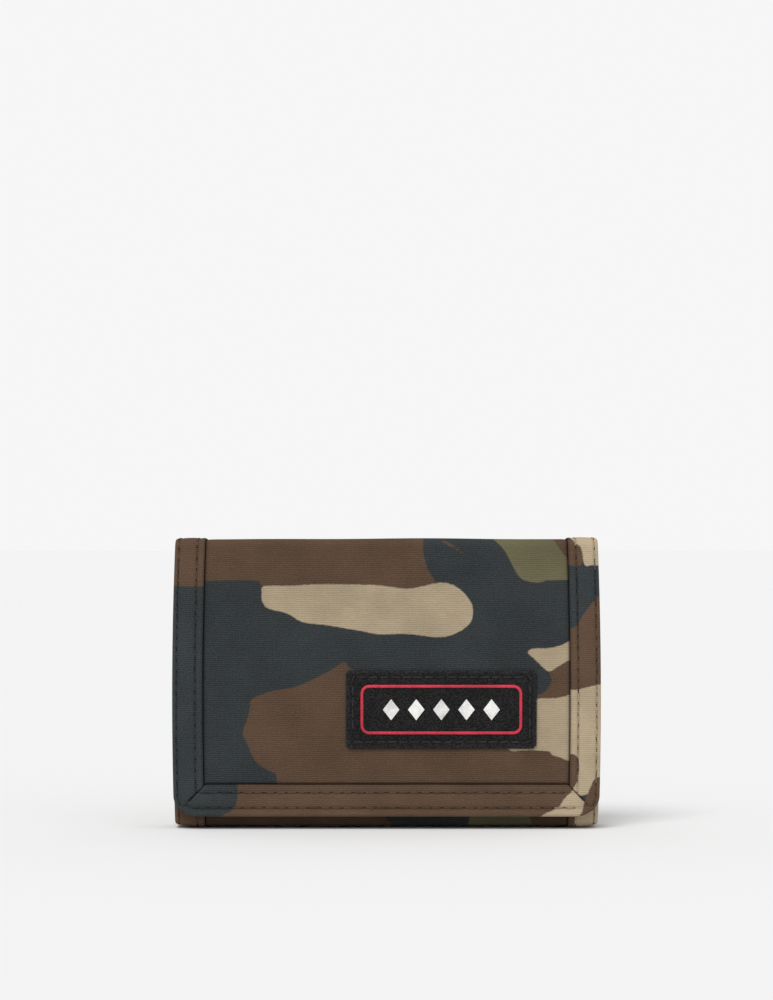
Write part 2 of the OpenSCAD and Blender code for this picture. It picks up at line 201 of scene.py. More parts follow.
MM = 0.001
CLOTH_SCALE = 0.01  # cloth coordinates are stored in the UV layer in units of 100 mm
CLOTH_UV = "cloth"
SHARP_ANGLE = 50.0  # faces that meet at more than this keep a sharp edge, in degrees
WELD, SLIVER = 2e-7, 1e-7  # metres: points this close are joined, and edges this short go
CAD_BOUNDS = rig.bounds()


# ---------------------------------------------------------------- sizes

def span(node: str) -> tuple[Array, Array]:
    """Lowest and highest corner of a node of the frame, in millimetres."""
    low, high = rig.box(node)
    return np.array(low) / MM, np.array(high) / MM


@dataclass(frozen=True)
class Sizes:
    """The places that every piece takes from the frame, in millimetres.

    A `face` is a depth counted from the back shell's outer face towards the front.
    """

    back_y: float
    half_w: float
    hem_inner: float
    top: float
    spine_top: float
    spine_t: float
    hem_t: float
    flap_face: float
    flap_inner: float
    flap_lift: float
    flap_hem_top: float
    lower_face: float
    lower_inner: float
    lower_top: float
    lower_hem_low: float
    lining_face: float
    divider_face: float

    @classmethod
    def from_frame(cls) -> "Sizes":
        """Reads the sizes from the boxes of the frame's nodes."""
        back_y = span("back_shell")[1][1]

        def front(node: str) -> float:
            """Depth of a node's front face."""
            return float(back_y - span(node)[0][1])

        def rear(node: str) -> float:
            """Depth of a node's rear face."""
            return float(back_y - span(node)[1][1])

        return cls(
            back_y=float(back_y),
            half_w=float(span("back_hem_right")[1][0]),
            hem_inner=float(span("back_hem_right")[0][0]),
            top=float(span("top_spine_hem_left")[1][2]),
            spine_top=float(span("top_spine_shell")[1][2]),
            spine_t=float(span("top_spine_shell")[1][2] - span("top_spine_lining")[0][2]),
            hem_t=float(span("flap_shell")[0][1] - span("flap_hem_edge")[0][1]),
            flap_face=front("flap_shell"),
            flap_inner=rear("flap_lining"),
            flap_lift=float(span("flap_hem_edge")[0][2]),
            flap_hem_top=float(span("flap_hem_edge")[1][2]),
            lower_face=front("lower_shell"),
            lower_inner=rear("lower_lining"),
            lower_top=float(span("lower_hem_edge")[1][2]),
            lower_hem_low=float(span("lower_hem_edge")[0][2]),
            lining_face=front("back_lining"),
            divider_face=front("note_divider"),
        )


S = Sizes.from_frame()


def depths(node: str) -> tuple[float, float]:
    """Depths of a node's rear face and of its front face."""
    low, high = span(node)
    return S.back_y - float(high[1]), S.back_y - float(low[1])


# ---------------------------------------------------------------- shape of the whole

@dataclass(frozen=True)
class Ease:
    """How the sewn layers ease out of their flat planes. One smooth field moves every layer."""

    bow: float = 0.013
    bow_height: float = 40.0
    swell: float = 0.45
    ripple: float = 0.10
    crest: float = 0.22
    crest_from: float = 0.55
    crest_run: float = 0.45
    corner_lift: float = 0.9
    corner_high: float = 9.0
    corner_in: float = 54.0
    corner_run: float = 12.0

    def apply(self, points: Array) -> Array:
        """Moves points by the field.

        Across: x is scaled by 1 - bow * u^2, where u is the height from the middle in
        half-heights, so the sides are slightly round. Depth: the distance from the middle
        layer is stretched by a dome, cos(x) * sin(z), plus two low ripples, and a third of
        that at the back. Height: the top edge rises and falls with two slow waves that fade
        out towards the bottom, and the bottom corners lift a little off the floor.

        Args:
            points: (..., 3) array of across, depth and height in millimetres.
        Returns:
            An array of the same shape.
        """
        x, d, z = points[..., 0], points[..., 1], points[..., 2]
        u = (z - self.bow_height) / (S.top / 2)
        across = x * (1 - self.bow * u * u)
        middle = S.flap_face / 2
        away = (d - middle) / middle
        reach = np.clip(x / S.half_w, -1, 1)
        rise = np.clip(z / S.top, 0, 1)
        dome = np.cos(reach * math.pi / 2) ** 0.6 * np.sin(rise * math.pi)
        low = np.sin(x / 17 + 0.6) * np.sin(z / 13 + 0.4) + 0.6 * np.sin(x / 9.5 - z / 23)
        away = np.where(away < 0, away * 0.3, away)
        depth = d + away * (self.swell * dome + self.ripple * low * np.sin(rise * math.pi))
        wave = 0.6 * np.sin(x / 21 + 1.1) + 0.4 * np.sin(x / 8.3)
        high = np.clip(rise - self.crest_from, 0, 1) ** 2 / self.crest_run ** 2
        height = z + self.crest * (wave - 0.5) * high
        base = np.clip(1 - z / self.corner_high, 0, 1)
        out = smooth((np.abs(x) - self.corner_in) / self.corner_run) ** 1.5
        height = height + self.corner_lift * base * out
        return np.stack([across, depth, height], axis=-1)


EASE = Ease()


def to_frame(points: Array) -> Array:
    """Turns across, depth and height in millimetres into the frame's metres."""
    out = np.empty_like(points)
    out[..., 0] = points[..., 0]
    out[..., 1] = S.back_y - points[..., 1]
    out[..., 2] = points[..., 2]
    return out * MM


# ---------------------------------------------------------------- numpy shape tools

def smooth(t: Array) -> Array:
    """Smoothstep: 3t^2 - 2t^3 on t clipped to 0..1."""
    t = np.clip(t, 0.0, 1.0)
    return t * t * (3 - 2 * t)


def steps(low: float, high: float, pitch: float) -> Array:
    """Evenly spaced values from low to high, about one pitch apart, both ends included."""
    return np.linspace(low, high, max(2, int(round(abs(high - low) / pitch)) + 1))


def bent_line(corners: Sequence[tuple[float, float]], radii: Sequence[float],
              runs: Sequence[int], turns: int = 7) -> Array:
    """A line of straight runs that meet at right angles, with round corners.

    A corner C between the directions a and b is the quarter circle
    C - a r (1 - sin q) + b r (1 - cos q), with q from 0 to 90 degrees.

    Args:
        corners: the line's ends and its corners, in order.
        radii: a radius for each corner between the ends.
        runs: how many points each straight run gets.
        turns: how many points each corner gets.
    Returns:
        (n, 2) points; two lines with equal runs and turns match point for point.
    """
    pts = np.array(corners, float)
    ways = np.diff(pts, axis=0)
    ways /= np.linalg.norm(ways, axis=1, keepdims=True)
    pieces = []
    for i, count in enumerate(runs):
        start = pts[i] + (ways[i] * radii[i - 1] if i > 0 else 0)
        end = pts[i + 1] - (ways[i] * radii[i] if i < len(radii) else 0)
        share = np.linspace(0, 1, count)[:, None]
        pieces.append(start + (end - start) * share)
        if i < len(radii):
            q = np.linspace(0, math.pi / 2, turns + 2)[1:-1, None]
            a, b, r = ways[i], ways[i + 1], radii[i]
            pieces.append(pts[i + 1] - a * r * (1 - np.sin(q)) + b * r * (1 - np.cos(q)))
    return np.concatenate(pieces)


def lengths(line: Array) -> Array:
    """Distance travelled along a line at each of its points."""
    return np.concatenate([[0.0], np.cumsum(np.linalg.norm(np.diff(line, axis=0), axis=1))])


def sample(grid: Array, rows: Array, cols: Array) -> Array:
    """Values of a grid between its points, by bilinear mixing of the four around each place."""
    r0 = np.clip(np.floor(rows).astype(int), 0, grid.shape[0] - 2)
    c0 = np.clip(np.floor(cols).astype(int), 0, grid.shape[1] - 2)
    fr, fc = (rows - r0)[..., None], (cols - c0)[..., None]
    near = grid[r0, c0] * (1 - fc) + grid[r0, c0 + 1] * fc
    far = grid[r0 + 1, c0] * (1 - fc) + grid[r0 + 1, c0 + 1] * fc
    return near * (1 - fr) + far * fr


def unit(v: Array) -> Array:
    """Vectors scaled to length one."""
    return v / np.maximum(np.linalg.norm(v, axis=-1, keepdims=True), 1e-9)


def closed_curve(points: Sequence[tuple[float, float]], between: int = 6) -> Array:
    """A closed smooth curve through points, as Catmull-Rom arcs.

    Each arc is 0.5 (2b + (c-a)t + (2a-5b+4c-d)t^2 + (3b-a-3c+d)t^3) for four points in a row.

    Args:
        points: the outline's points, in order.
        between: how many steps each arc gets.
    Returns:
        (n, 2) points round the curve, without repeating the first.
    """
    b = np.array(points, float)
    a, c, d = np.roll(b, 1, 0), np.roll(b, -1, 0), np.roll(b, -2, 0)
    t = (np.arange(between) / between)[None, :, None]
    a, b, c, d = (v[:, None, :] for v in (a, b, c, d))
    curve = 0.5 * (2 * b + (c - a) * t + (2 * a - 5 * b + 4 * c - d) * t ** 2
                   + (3 * b - a - 3 * c + d) * t ** 3)
    return curve.reshape(-1, 2)


def signed_distance(place: Array, outline: Array) -> Array:
    """Distance of places to a closed outline, negative inside it.

    The distance is to the nearest point of any edge. A place is inside when a ray from it
    towards +x crosses the outline an odd number of times.

    Args:
        place: (n, 2) places.
        outline: (m, 2) points round the outline.
    Returns:
        (n,) distances.
    """
    a, b = outline, np.roll(outline, -1, 0)
    edge = b - a
    rel = place[:, None, :] - a[None]
    t = np.clip((rel * edge).sum(-1) / np.maximum((edge * edge).sum(-1), 1e-12), 0, 1)
    near = np.sqrt(((rel - edge[None] * t[..., None]) ** 2).sum(-1)).min(1)
    above = (a[None, :, 1] > place[:, None, 1]) != (b[None, :, 1] > place[:, None, 1])
    rise = np.where(np.abs(edge[:, 1]) < 1e-12, 1e-12, edge[:, 1])
    cross = a[None, :, 0] + (place[:, None, 1] - a[None, :, 1]) * (edge[:, 0] / rise)[None]
    inside = (above & (cross > place[:, None, 0])).sum(1) % 2 == 1
    return np.where(inside, -near, near)


def cloth_grid(x: Array, along: Array) -> Array:
    """Places on the cloth of a grid whose rows go along it and whose columns go across."""
    return np.stack(np.broadcast_arrays(x, along[:, None]), axis=-1)


# ---------------------------------------------------------------- meshes

def grid_quads(rows: int, cols: int) -> Array:
    """The four point numbers of every cell of a grid."""
    index = np.arange(rows * cols).reshape(rows, cols)
    return np.stack([index[:-1, :-1], index[:-1, 1:], index[1:, 1:], index[1:, :-1]],
                    axis=-1).reshape(-1, 4)


@dataclass
class Mesher:
    """Collects surfaces made of grids and turns them into one mesh object."""

    points: list[Array] = field(default_factory=list)
    cloth: list[Array] = field(default_factory=list)
    fields: dict[str, list[Array]] = field(default_factory=dict)
    quads: list[Array] = field(default_factory=list)
    count: int = 0

    def grid(self, points: Array, cloth: Optional[Array] = None,
             fields: Optional[dict[str, Array]] = None) -> None:
        """Adds one (rows, cols, 3) grid of points as a surface.

        Args:
            points: across, depth and height in millimetres.
            cloth: (rows, cols, 2) place on the flat cloth in millimetres.
            fields: named (rows, cols) values stored at the points.
        """
        rows, cols = points.shape[:2]
        if cloth is None:
            cloth = points[..., [0, 2]]
        self.quads.append(grid_quads(rows, cols) + self.count)
        self.points.append(points.reshape(-1, 3))
        self.cloth.append(cloth.reshape(-1, 2))
        for name, values in (fields or {}).items():
            self.fields.setdefault(name, []).append(np.asarray(values, float).reshape(-1))
        self.count += rows * cols

    def slab(self, front: Array, back: Array, cloth: Optional[Array] = None,
             fields: Optional[dict[str, Array]] = None,
             rims: tuple[float, float, float, float] = (1, 1, 1, 1)) -> None:
        """Adds a closed sheet between two matching grids, with a rim that bulges out.

        A rim point is m + h cos q + n |h| sin q, with m the middle of the two edges, h half
        of their difference, n the way out of the sheet, and q from 0 to 180 degrees.

        Args:
            front: one face's grid.
            back: the other face's grid, of the same shape.
            cloth: place on the cloth, shared by both faces.
            fields: values shared by both faces.
            rims: how far the rim bulges at the first row, last row, first column and last
                column, in half thicknesses; 0 is flat and -1 leaves that rim out.
        """
        cloth = front[..., [0, 2]] if cloth is None else cloth
        fields = fields or {}
        self.grid(front, cloth, fields)
        self.grid(back, cloth, fields)
        middle = (front + back) / 2
        edges = ((0, 0, 1), (0, -1, -2), (1, 0, 1), (1, -1, -2))
        rows = 2
        for (axis, edge, inner), round_ in zip(edges, rims):
            if round_ < 0:
                continue
            f, b = front.take(edge, axis), back.take(edge, axis)
            out = unit(middle.take(edge, axis) - middle.take(inner, axis))
            half = (f - b) / 2
            q = np.linspace(0, math.pi, rows + 2)[:, None, None]
            size = np.linalg.norm(half, axis=-1, keepdims=True)
            bulge = np.sin(q) * round_
            rim = (f + b)[None] / 2 + half[None] * np.cos(q) + (out * size)[None] * bulge
            share = np.linspace(0, 1, len(rim))[:, None]
            for end in (0, -1):  # a straight line, so that two rims share it
                rim[:, end] = f[end] + (b[end] - f[end]) * share
            rim[0], rim[-1] = f, b
            edge_cloth = np.broadcast_to(cloth.take(edge, axis), (rows + 2, f.shape[0], 2))
            edge_fields = {k: np.broadcast_to(v.take(edge, axis), (rows + 2, f.shape[0]))
                           for k, v in fields.items()}
            self.grid(rim, edge_cloth, edge_fields)

    def copies(self, shape: Array, origins: Array, axes: Array,
               fields: Optional[dict[str, Array]] = None, sag: Optional[Array] = None) -> None:
        """Adds one grid many times: each copy is origin + shape . axes.

        With a sag, a copy also bends along its first direction, by the sag times the square
        of the distance from its middle in half-lengths.

        Args:
            shape: (rows, cols, 3) grid about its own origin.
            origins: (n, 3) places.
            axes: (n, 3, 3) matrices whose rows are the copy's own three directions.
            fields: values by name, (n, 1) for each copy or (1, points) for each of its points.
            sag: (n,) how far each copy's ends sink.
        """
        n, (rows, cols) = len(origins), shape.shape[:2]
        if n == 0:
            return
        flat = shape.reshape(-1, 3)
        points = origins[:, None, :] + np.einsum("pk,nkj->npj", flat, axes)
        if sag is not None:
            sunk = sag[:, None] * (flat[:, 0] / flat[:, 0].max()) ** 2
            points = points - sunk[..., None] * axes[:, 2][:, None, :]
        shift = (np.arange(n) * rows * cols)[:, None, None] + self.count
        self.quads.append((grid_quads(rows, cols)[None] + shift).reshape(-1, 4))
        self.points.append(points.reshape(-1, 3))
        offset = origins[:, None, [0, 2]]
        self.cloth.append((offset + flat[None, :, :2]).reshape(-1, 2))
        for name, values in (fields or {}).items():
            whole = np.broadcast_to(values, (n, rows * cols))
            self.fields.setdefault(name, []).append(whole.reshape(-1))
        self.count += n * rows * cols

    def make(self, name: str) -> bpy.types.Object:
        """Eases the points, writes the mesh and returns its object, which sits at the origin."""
        points = np.concatenate(self.points)
        cloth = np.concatenate(self.cloth) * CLOTH_SCALE
        quads = np.concatenate(self.quads).astype(np.int32)
        points = to_frame(EASE.apply(points))
        mesh = bpy.data.meshes.new(name)
        mesh.vertices.add(len(points))
        mesh.vertices.foreach_set("co", points.astype(np.float32).ravel())
        mesh.loops.add(quads.size)
        mesh.loops.foreach_set("vertex_index", quads.ravel())
        mesh.polygons.add(len(quads))
        mesh.polygons.foreach_set("loop_start", np.arange(0, quads.size, 4, dtype=np.int32))
        mesh.update(calc_edges=True)
        layer = mesh.uv_layers.new(name=CLOTH_UV)
        layer.data.foreach_set("uv", cloth[quads.ravel()].astype(np.float32).ravel())
        for key, values in self.fields.items():
            attribute = mesh.attributes.new(key, "FLOAT", "POINT")
            attribute.data.foreach_set("value", np.concatenate(values).astype(np.float32))
        work = bmesh.new()
        work.from_mesh(mesh)
        bmesh.ops.remove_doubles(work, verts=work.verts, dist=WELD)
        bmesh.ops.dissolve_degenerate(work, edges=work.edges, dist=SLIVER)
        bmesh.ops.recalc_face_normals(work, faces=work.faces)
        work.to_mesh(mesh)
        work.free()
        mesh.polygons.foreach_set("use_smooth", np.ones(len(mesh.polygons), bool))
        mesh.set_sharp_from_angle(angle=math.radians(SHARP_ANGLE))
        piece = bpy.data.objects.new(name, mesh)
        bpy.context.scene.collection.objects.link(piece)
        return piece


# ---------------------------------------------------------------- shader groups

class Kind(Enum):
    """Kinds of group sockets."""

    NUMBER = "NodeSocketFloat"
    COLOUR = "NodeSocketColor"
    VECTOR = "NodeSocketVector"


@dataclass
class Nodes:
    """Short ways to add nodes to one node tree. Inputs may be sockets or plain values."""

    tree: bpy.types.NodeTree

    def add(self, kind: str, inputs: Optional[dict] = None, **settings: object) -> bpy.types.Node:
        """Adds a node.

        Args:
            kind: the node's type name without its ShaderNode prefix.
            inputs: values or sockets by input name or number.
            settings: attributes of the node.
        Returns:
            The node.
        """
        node = self.tree.nodes.new(kind if kind.startswith("Node") else "ShaderNode" + kind)
        for key, value in settings.items():
            setattr(node, key, value)
        for key, value in (inputs or {}).items():
            self.put(node.inputs[key], value)
        return node

    def put(self, socket: Socket, value: object) -> None:
        """Links a socket to an input, or sets its value."""
        if isinstance(value, bpy.types.NodeSocket):
            self.tree.links.new(value, socket)
        else:
            socket.default_value = value

    def math(self, operation: str, a: object, b: object = 0.0, c: object = 0.0) -> Socket:
        """A Math node's result."""
        return self.add("Math", {0: a, 1: b, 2: c}, operation=operation).outputs[0]

    def vector(self, operation: str, a: object, b: object = (0.0, 0.0, 0.0)) -> Socket:
        """A Vector Math node's vector result."""
        return self.add("VectorMath", {0: a, 1: b}, operation=operation).outputs[0]

    def between(self, value: object, low: float, high: float, to_low: float = 0.0,
                to_high: float = 1.0) -> Socket:
        """A value mapped smoothly from one range onto another and kept inside it."""
        return self.add("MapRange", {0: value, 1: low, 2: high, 3: to_low, 4: to_high},
                        interpolation_type="SMOOTHSTEP").outputs[0]

    def blend(self, share: object, a: object, b: object) -> Socket:
        """A colour mix of a and b by a share."""
        node = self.add("Mix", None, data_type="RGBA")
        self.put(node.inputs[0], share)
        self.put(node.inputs[6], a)
        self.put(node.inputs[7], b)
        return node.outputs[2]

    def scaled(self, colour: object, share: object) -> Socket:
        """A colour made darker or lighter by a share."""
        return self.add("VectorMath", {0: colour, "Scale": share}, operation="SCALE").outputs[0]

    def noise(self, place: object, scale: object, detail: float = 2.0,
              rough: float = 0.5) -> Socket:
        """A noise value between 0 and 1."""
        return self.add("TexNoise", {"Vector": place, "Scale": scale, "Detail": detail,
                                     "Roughness": rough}).outputs[0]

    def attribute(self, name: str) -> Socket:
        """A float stored at the mesh's points."""
        return self.add("Attribute", None, attribute_name=name).outputs["Fac"]

    def cloth(self) -> Socket:
        """Place on the flat cloth, in millimetres."""
        uv = self.add("UVMap", None, uv_map=CLOTH_UV).outputs[0]
        scale = 1.0 / CLOTH_SCALE
        return self.vector("MULTIPLY", uv, (scale, scale, scale))

    def solid(self) -> Socket:
        """Place in the object, in millimetres."""
        here = self.add("TexCoord").outputs["Object"]
        return self.vector("MULTIPLY", here, (1 / MM, 1 / MM, 1 / MM))


class Group:
    """A shader node group under construction, with named inputs and outputs."""

    def __init__(self, name: str, inputs: dict[str, tuple[Kind, object]],
                 outputs: dict[str, Kind]) -> None:
        """Makes the group's interface.

        Args:
            name: the group's name.
            inputs: kind and default value by name.
            outputs: kind by name.
        """
        self.tree = bpy.data.node_groups.new(name, "ShaderNodeTree")
        for key, (kind, value) in inputs.items():
            socket = self.tree.interface.new_socket(key, in_out="INPUT", socket_type=kind.value)
            socket.default_value = value
        for key, kind in outputs.items():
            self.tree.interface.new_socket(key, in_out="OUTPUT", socket_type=kind.value)
        self.nodes = Nodes(self.tree)
        self.source = self.tree.nodes.new("NodeGroupInput")
        self.target = self.tree.nodes.new("NodeGroupOutput")

    def __getitem__(self, key: str) -> Socket:
        """One of the group's inputs, as the nodes inside read it."""
        return self.source.outputs[key]

    def give(self, key: str, value: Socket) -> None:
        """Sends a value to one of the group's outputs."""
        self.tree.links.new(value, self.target.inputs[key])


def weave_group() -> bpy.types.NodeTree:
    """Ribs of one thread direction crossed by finer threads, with slubs and loose fibres.

    Height is a rib's |sin| profile across, times the crossing thread's profile along it,
    which steps by half a thread from one rib to the next. Shade is darker between ribs.
    """
    g = Group("Weave", {"Place": (Kind.VECTOR, (0, 0, 0)), "Rib": (Kind.NUMBER, 0.64),
                        "Thread": (Kind.NUMBER, 0.32), "Waver": (Kind.NUMBER, 0.06)},
              {"Height": Kind.NUMBER, "Shade": Kind.NUMBER, "Fibre": Kind.NUMBER})
    n = g.nodes
    sway = n.noise(n.vector("MULTIPLY", g["Place"], (0.35, 0.6, 0.6)), 1.0, 1.0)
    sway = n.math("MULTIPLY", n.math("SUBTRACT", sway, 0.5), n.math("MULTIPLY", g["Waver"], 8.0))
    parts = n.add("SeparateXYZ", {0: g["Place"]})
    across = n.math("DIVIDE", n.math("ADD", parts.outputs[1], sway), g["Rib"])
    along = n.math("DIVIDE", n.math("ADD", parts.outputs[0], sway), g["Thread"])
    step = n.math("MULTIPLY", n.math("FLOOR", across), 0.5)
    rib = n.math("ABSOLUTE", n.math("SINE", n.math("MULTIPLY", across, math.pi)))
    turn = n.math("MULTIPLY", n.math("ADD", along, step), math.pi)
    thread = n.math("ABSOLUTE", n.math("SINE", turn))
    height = n.math("MULTIPLY", n.math("POWER", rib, 0.6),
                    n.math("ADD", n.math("MULTIPLY", n.math("POWER", thread, 0.7), 0.45), 0.55))
    slub = n.noise(n.vector("MULTIPLY", g["Place"], (0.22, 1.7, 1.7)), 1.0, 3.0, 0.6)
    fibre = n.noise(n.vector("MULTIPLY", g["Place"], (2.3, 3.2, 3.2)), 1.0, 3.0, 0.7)
    g.give("Height", n.math("ADD", height, n.math("MULTIPLY", slub, 0.5)))
    shade = n.math("ADD", n.math("MULTIPLY", height, 0.17), n.math("MULTIPLY", slub, 0.18))
    g.give("Shade", n.math("ADD", shade, 0.78))
    g.give("Fibre", fibre)
    return g.tree


def mottle_group() -> bpy.types.NodeTree:
    """Slow unevenness of dye and rubbing: layered noise at a size in millimetres."""
    g = Group("Mottle", {"Place": (Kind.VECTOR, (0, 0, 0)), "Size": (Kind.NUMBER, 12.0),
                         "Low": (Kind.NUMBER, 0.85), "High": (Kind.NUMBER, 1.15)},
              {"Value": Kind.NUMBER})
    n = g.nodes
    cloud = n.noise(g["Place"], n.math("DIVIDE", 1.0, g["Size"]), 4.0, 0.55)
    spread = n.math("SUBTRACT", g["High"], g["Low"])
    value = n.math("MULTIPLY", n.between(cloud, 0.3, 0.7), spread)
    g.give("Value", n.math("ADD", value, g["Low"]))
    return g.tree


def wear_group() -> bpy.types.NodeTree:
    """Rubbed edges: the stored wear value broken up by noise at thread size."""
    g = Group("EdgeWear", {"Place": (Kind.VECTOR, (0, 0, 0)), "Worn": (Kind.NUMBER, 0.0),
                           "Grit": (Kind.NUMBER, 1.2)}, {"Mask": Kind.NUMBER})
    n = g.nodes
    grit = n.noise(g["Place"], n.math("DIVIDE", 1.0, g["Grit"]), 4.0, 0.7)
    mask = n.math("MULTIPLY", g["Worn"], n.between(grit, 0.35, 0.7))
    g.give("Mask", mask)
    return g.tree


def grain_group() -> bpy.types.NodeTree:
    """Pebbled skin: cells with a soft top, folded by noise, and fine pores."""
    g = Group("Grain", {"Place": (Kind.VECTOR, (0, 0, 0)), "Size": (Kind.NUMBER, 0.9)},
              {"Height": Kind.NUMBER, "Crease": Kind.NUMBER})
    n = g.nodes
    scale = n.math("DIVIDE", 1.0, g["Size"])
    bend = n.add("TexNoise", {"Vector": g["Place"], "Scale": scale, "Detail": 2.0}).outputs[1]
    place = n.vector("ADD", g["Place"], n.vector("MULTIPLY", bend, (0.2, 0.2, 0.2)))
    cells = n.add("TexVoronoi", {"Vector": place, "Scale": scale, "Smoothness": 0.6},
                  feature="SMOOTH_F1")
    crease = n.between(cells.outputs[0], 0.2, 0.75)
    pores = n.noise(g["Place"], n.math("MULTIPLY", scale, 5.0), 2.0)
    height = n.math("SUBTRACT", n.math("MULTIPLY", pores, 0.25), crease)
    g.give("Height", height)
    g.give("Crease", crease)
    return g.tree


def camo_group() -> bpy.types.NodeTree:
    """Printed blotches: each stored distance, roughened by thread-sized noise, cut at zero.

    The print covers slate with brown, olive and tan in that order, and a blotch's rim bleeds
    over about half a millimetre.
    """
    g = Group("CamoPrint",
              {"Place": (Kind.VECTOR, (0, 0, 0)), "Brown": (Kind.NUMBER, 1.0),
               "Olive": (Kind.NUMBER, 1.0), "Tan": (Kind.NUMBER, 1.0),
               "Slate colour": (Kind.COLOUR, (0, 0, 0, 1)),
               "Brown colour": (Kind.COLOUR, (0, 0, 0, 1)),
               "Olive colour": (Kind.COLOUR, (0, 0, 0, 1)),
               "Tan colour": (Kind.COLOUR, (0, 0, 0, 1))},
              {"Color": Kind.COLOUR})
    n = g.nodes
    rough = n.noise(n.vector("MULTIPLY", g["Place"], (0.9, 1.6, 1.6)), 1.0, 3.0, 0.7)
    rough = n.math("MULTIPLY", n.math("SUBTRACT", rough, 0.5), 0.75)
    colour = g["Slate colour"]
    for key in ("Brown", "Olive", "Tan"):
        edge = n.math("ADD", g[key], rough)
        colour = n.blend(n.between(edge, 0.24, -0.24), colour, g[key + " colour"])
    g.give("Color", colour)
    return g.tree


@dataclass(frozen=True)
class Effects:
    """The shared shader groups."""

    weave: bpy.types.NodeTree
    mottle: bpy.types.NodeTree
    wear: bpy.types.NodeTree
    grain: bpy.types.NodeTree
    camo: bpy.types.NodeTree

    @classmethod
    def build(cls) -> "Effects":
        """Makes every group once."""
        return cls(weave_group(), mottle_group(), wear_group(), grain_group(), camo_group())


# ---------------------------------------------------------------- finishes

Colour = tuple[float, float, float]


def rgba(colour: Colour, scale: float = 1.0) -> tuple[float, float, float, float]:
    """A linear colour with full cover."""
    return (colour[0] * scale, colour[1] * scale, colour[2] * scale, 1.0)


@dataclass(frozen=True)
class Palette:
    """Linear colours of the print and the trims."""

    slate: Colour = (0.0365, 0.0425, 0.0450)
    brown: Colour = (0.1040, 0.0640, 0.0415)
    olive: Colour = (0.1380, 0.1270, 0.0700)
    tan: Colour = (0.4050, 0.3250, 0.2180)
    black: Colour = (0.0100, 0.0098, 0.0102)


PALETTE = Palette()
DYES = ("brown", "olive", "tan")
# near black for the painted shade inside the stitches' needle holes
PAINTED_HOLE_SHADE = (0.003, 0.0027, 0.0025, 1)


@dataclass(frozen=True)
class Finish:
    """A finish: its shader settings and the shared start of its material."""

    name: str
    slot: str
    rough: float = 0.85
    specular: float = 0.3
    sheen: float = 0.0
    bump: float = 0.5
    bump_height: float = 0.00008

    def start(self) -> tuple[bpy.types.Material, Nodes, bpy.types.Node]:
        """An empty material with its Principled shader, whose constants are set."""
        material = bpy.data.materials.new(self.name)
        material.use_nodes = True
        tree = material.node_tree
        tree.nodes.clear()
        nodes = Nodes(tree)
        shader = nodes.add("BsdfPrincipled", {"Roughness": self.rough,
                                              "Specular IOR Level": self.specular,
                                              "Sheen Weight": self.sheen,
                                              "Sheen Roughness": 0.5})
        end = nodes.add("OutputMaterial")
        tree.links.new(shader.outputs[0], end.inputs[0])
        return material, nodes, shader

    def relief(self, nodes: Nodes, shader: bpy.types.Node, height: Socket) -> None:
        """Bumps the shader's normal by a height."""
        bump = nodes.add("Bump", {"Strength": self.bump, "Distance": self.bump_height,
                                  "Height": height})
        nodes.put(shader.inputs["Normal"], bump.outputs[0])

    def effect(self, nodes: Nodes, tree: bpy.types.NodeTree, **inputs: object) -> bpy.types.Node:
        """Places a shared group with this finish's values; underscores stand for spaces."""
        node = nodes.add("Group", None, node_tree=tree)
        for key, value in inputs.items():
            nodes.put(node.inputs[key.replace("_", " ")], value)
        return node

    def camo(self, nodes: Nodes, effects: Effects, place: Socket, slate: float,
             dyes: float) -> Socket:
        """The print's colour, with the slate and the dyes of the palette scaled."""
        inputs: dict[str, object] = {"Slate_colour": rgba(PALETTE.slate, slate)}
        for dye in DYES:
            inputs[dye.title()] = nodes.attribute(dye)
            inputs[dye.title() + "_colour"] = rgba(getattr(PALETTE, dye), dyes)
        return self.effect(nodes, effects.camo, Place=place, **inputs).outputs[0]


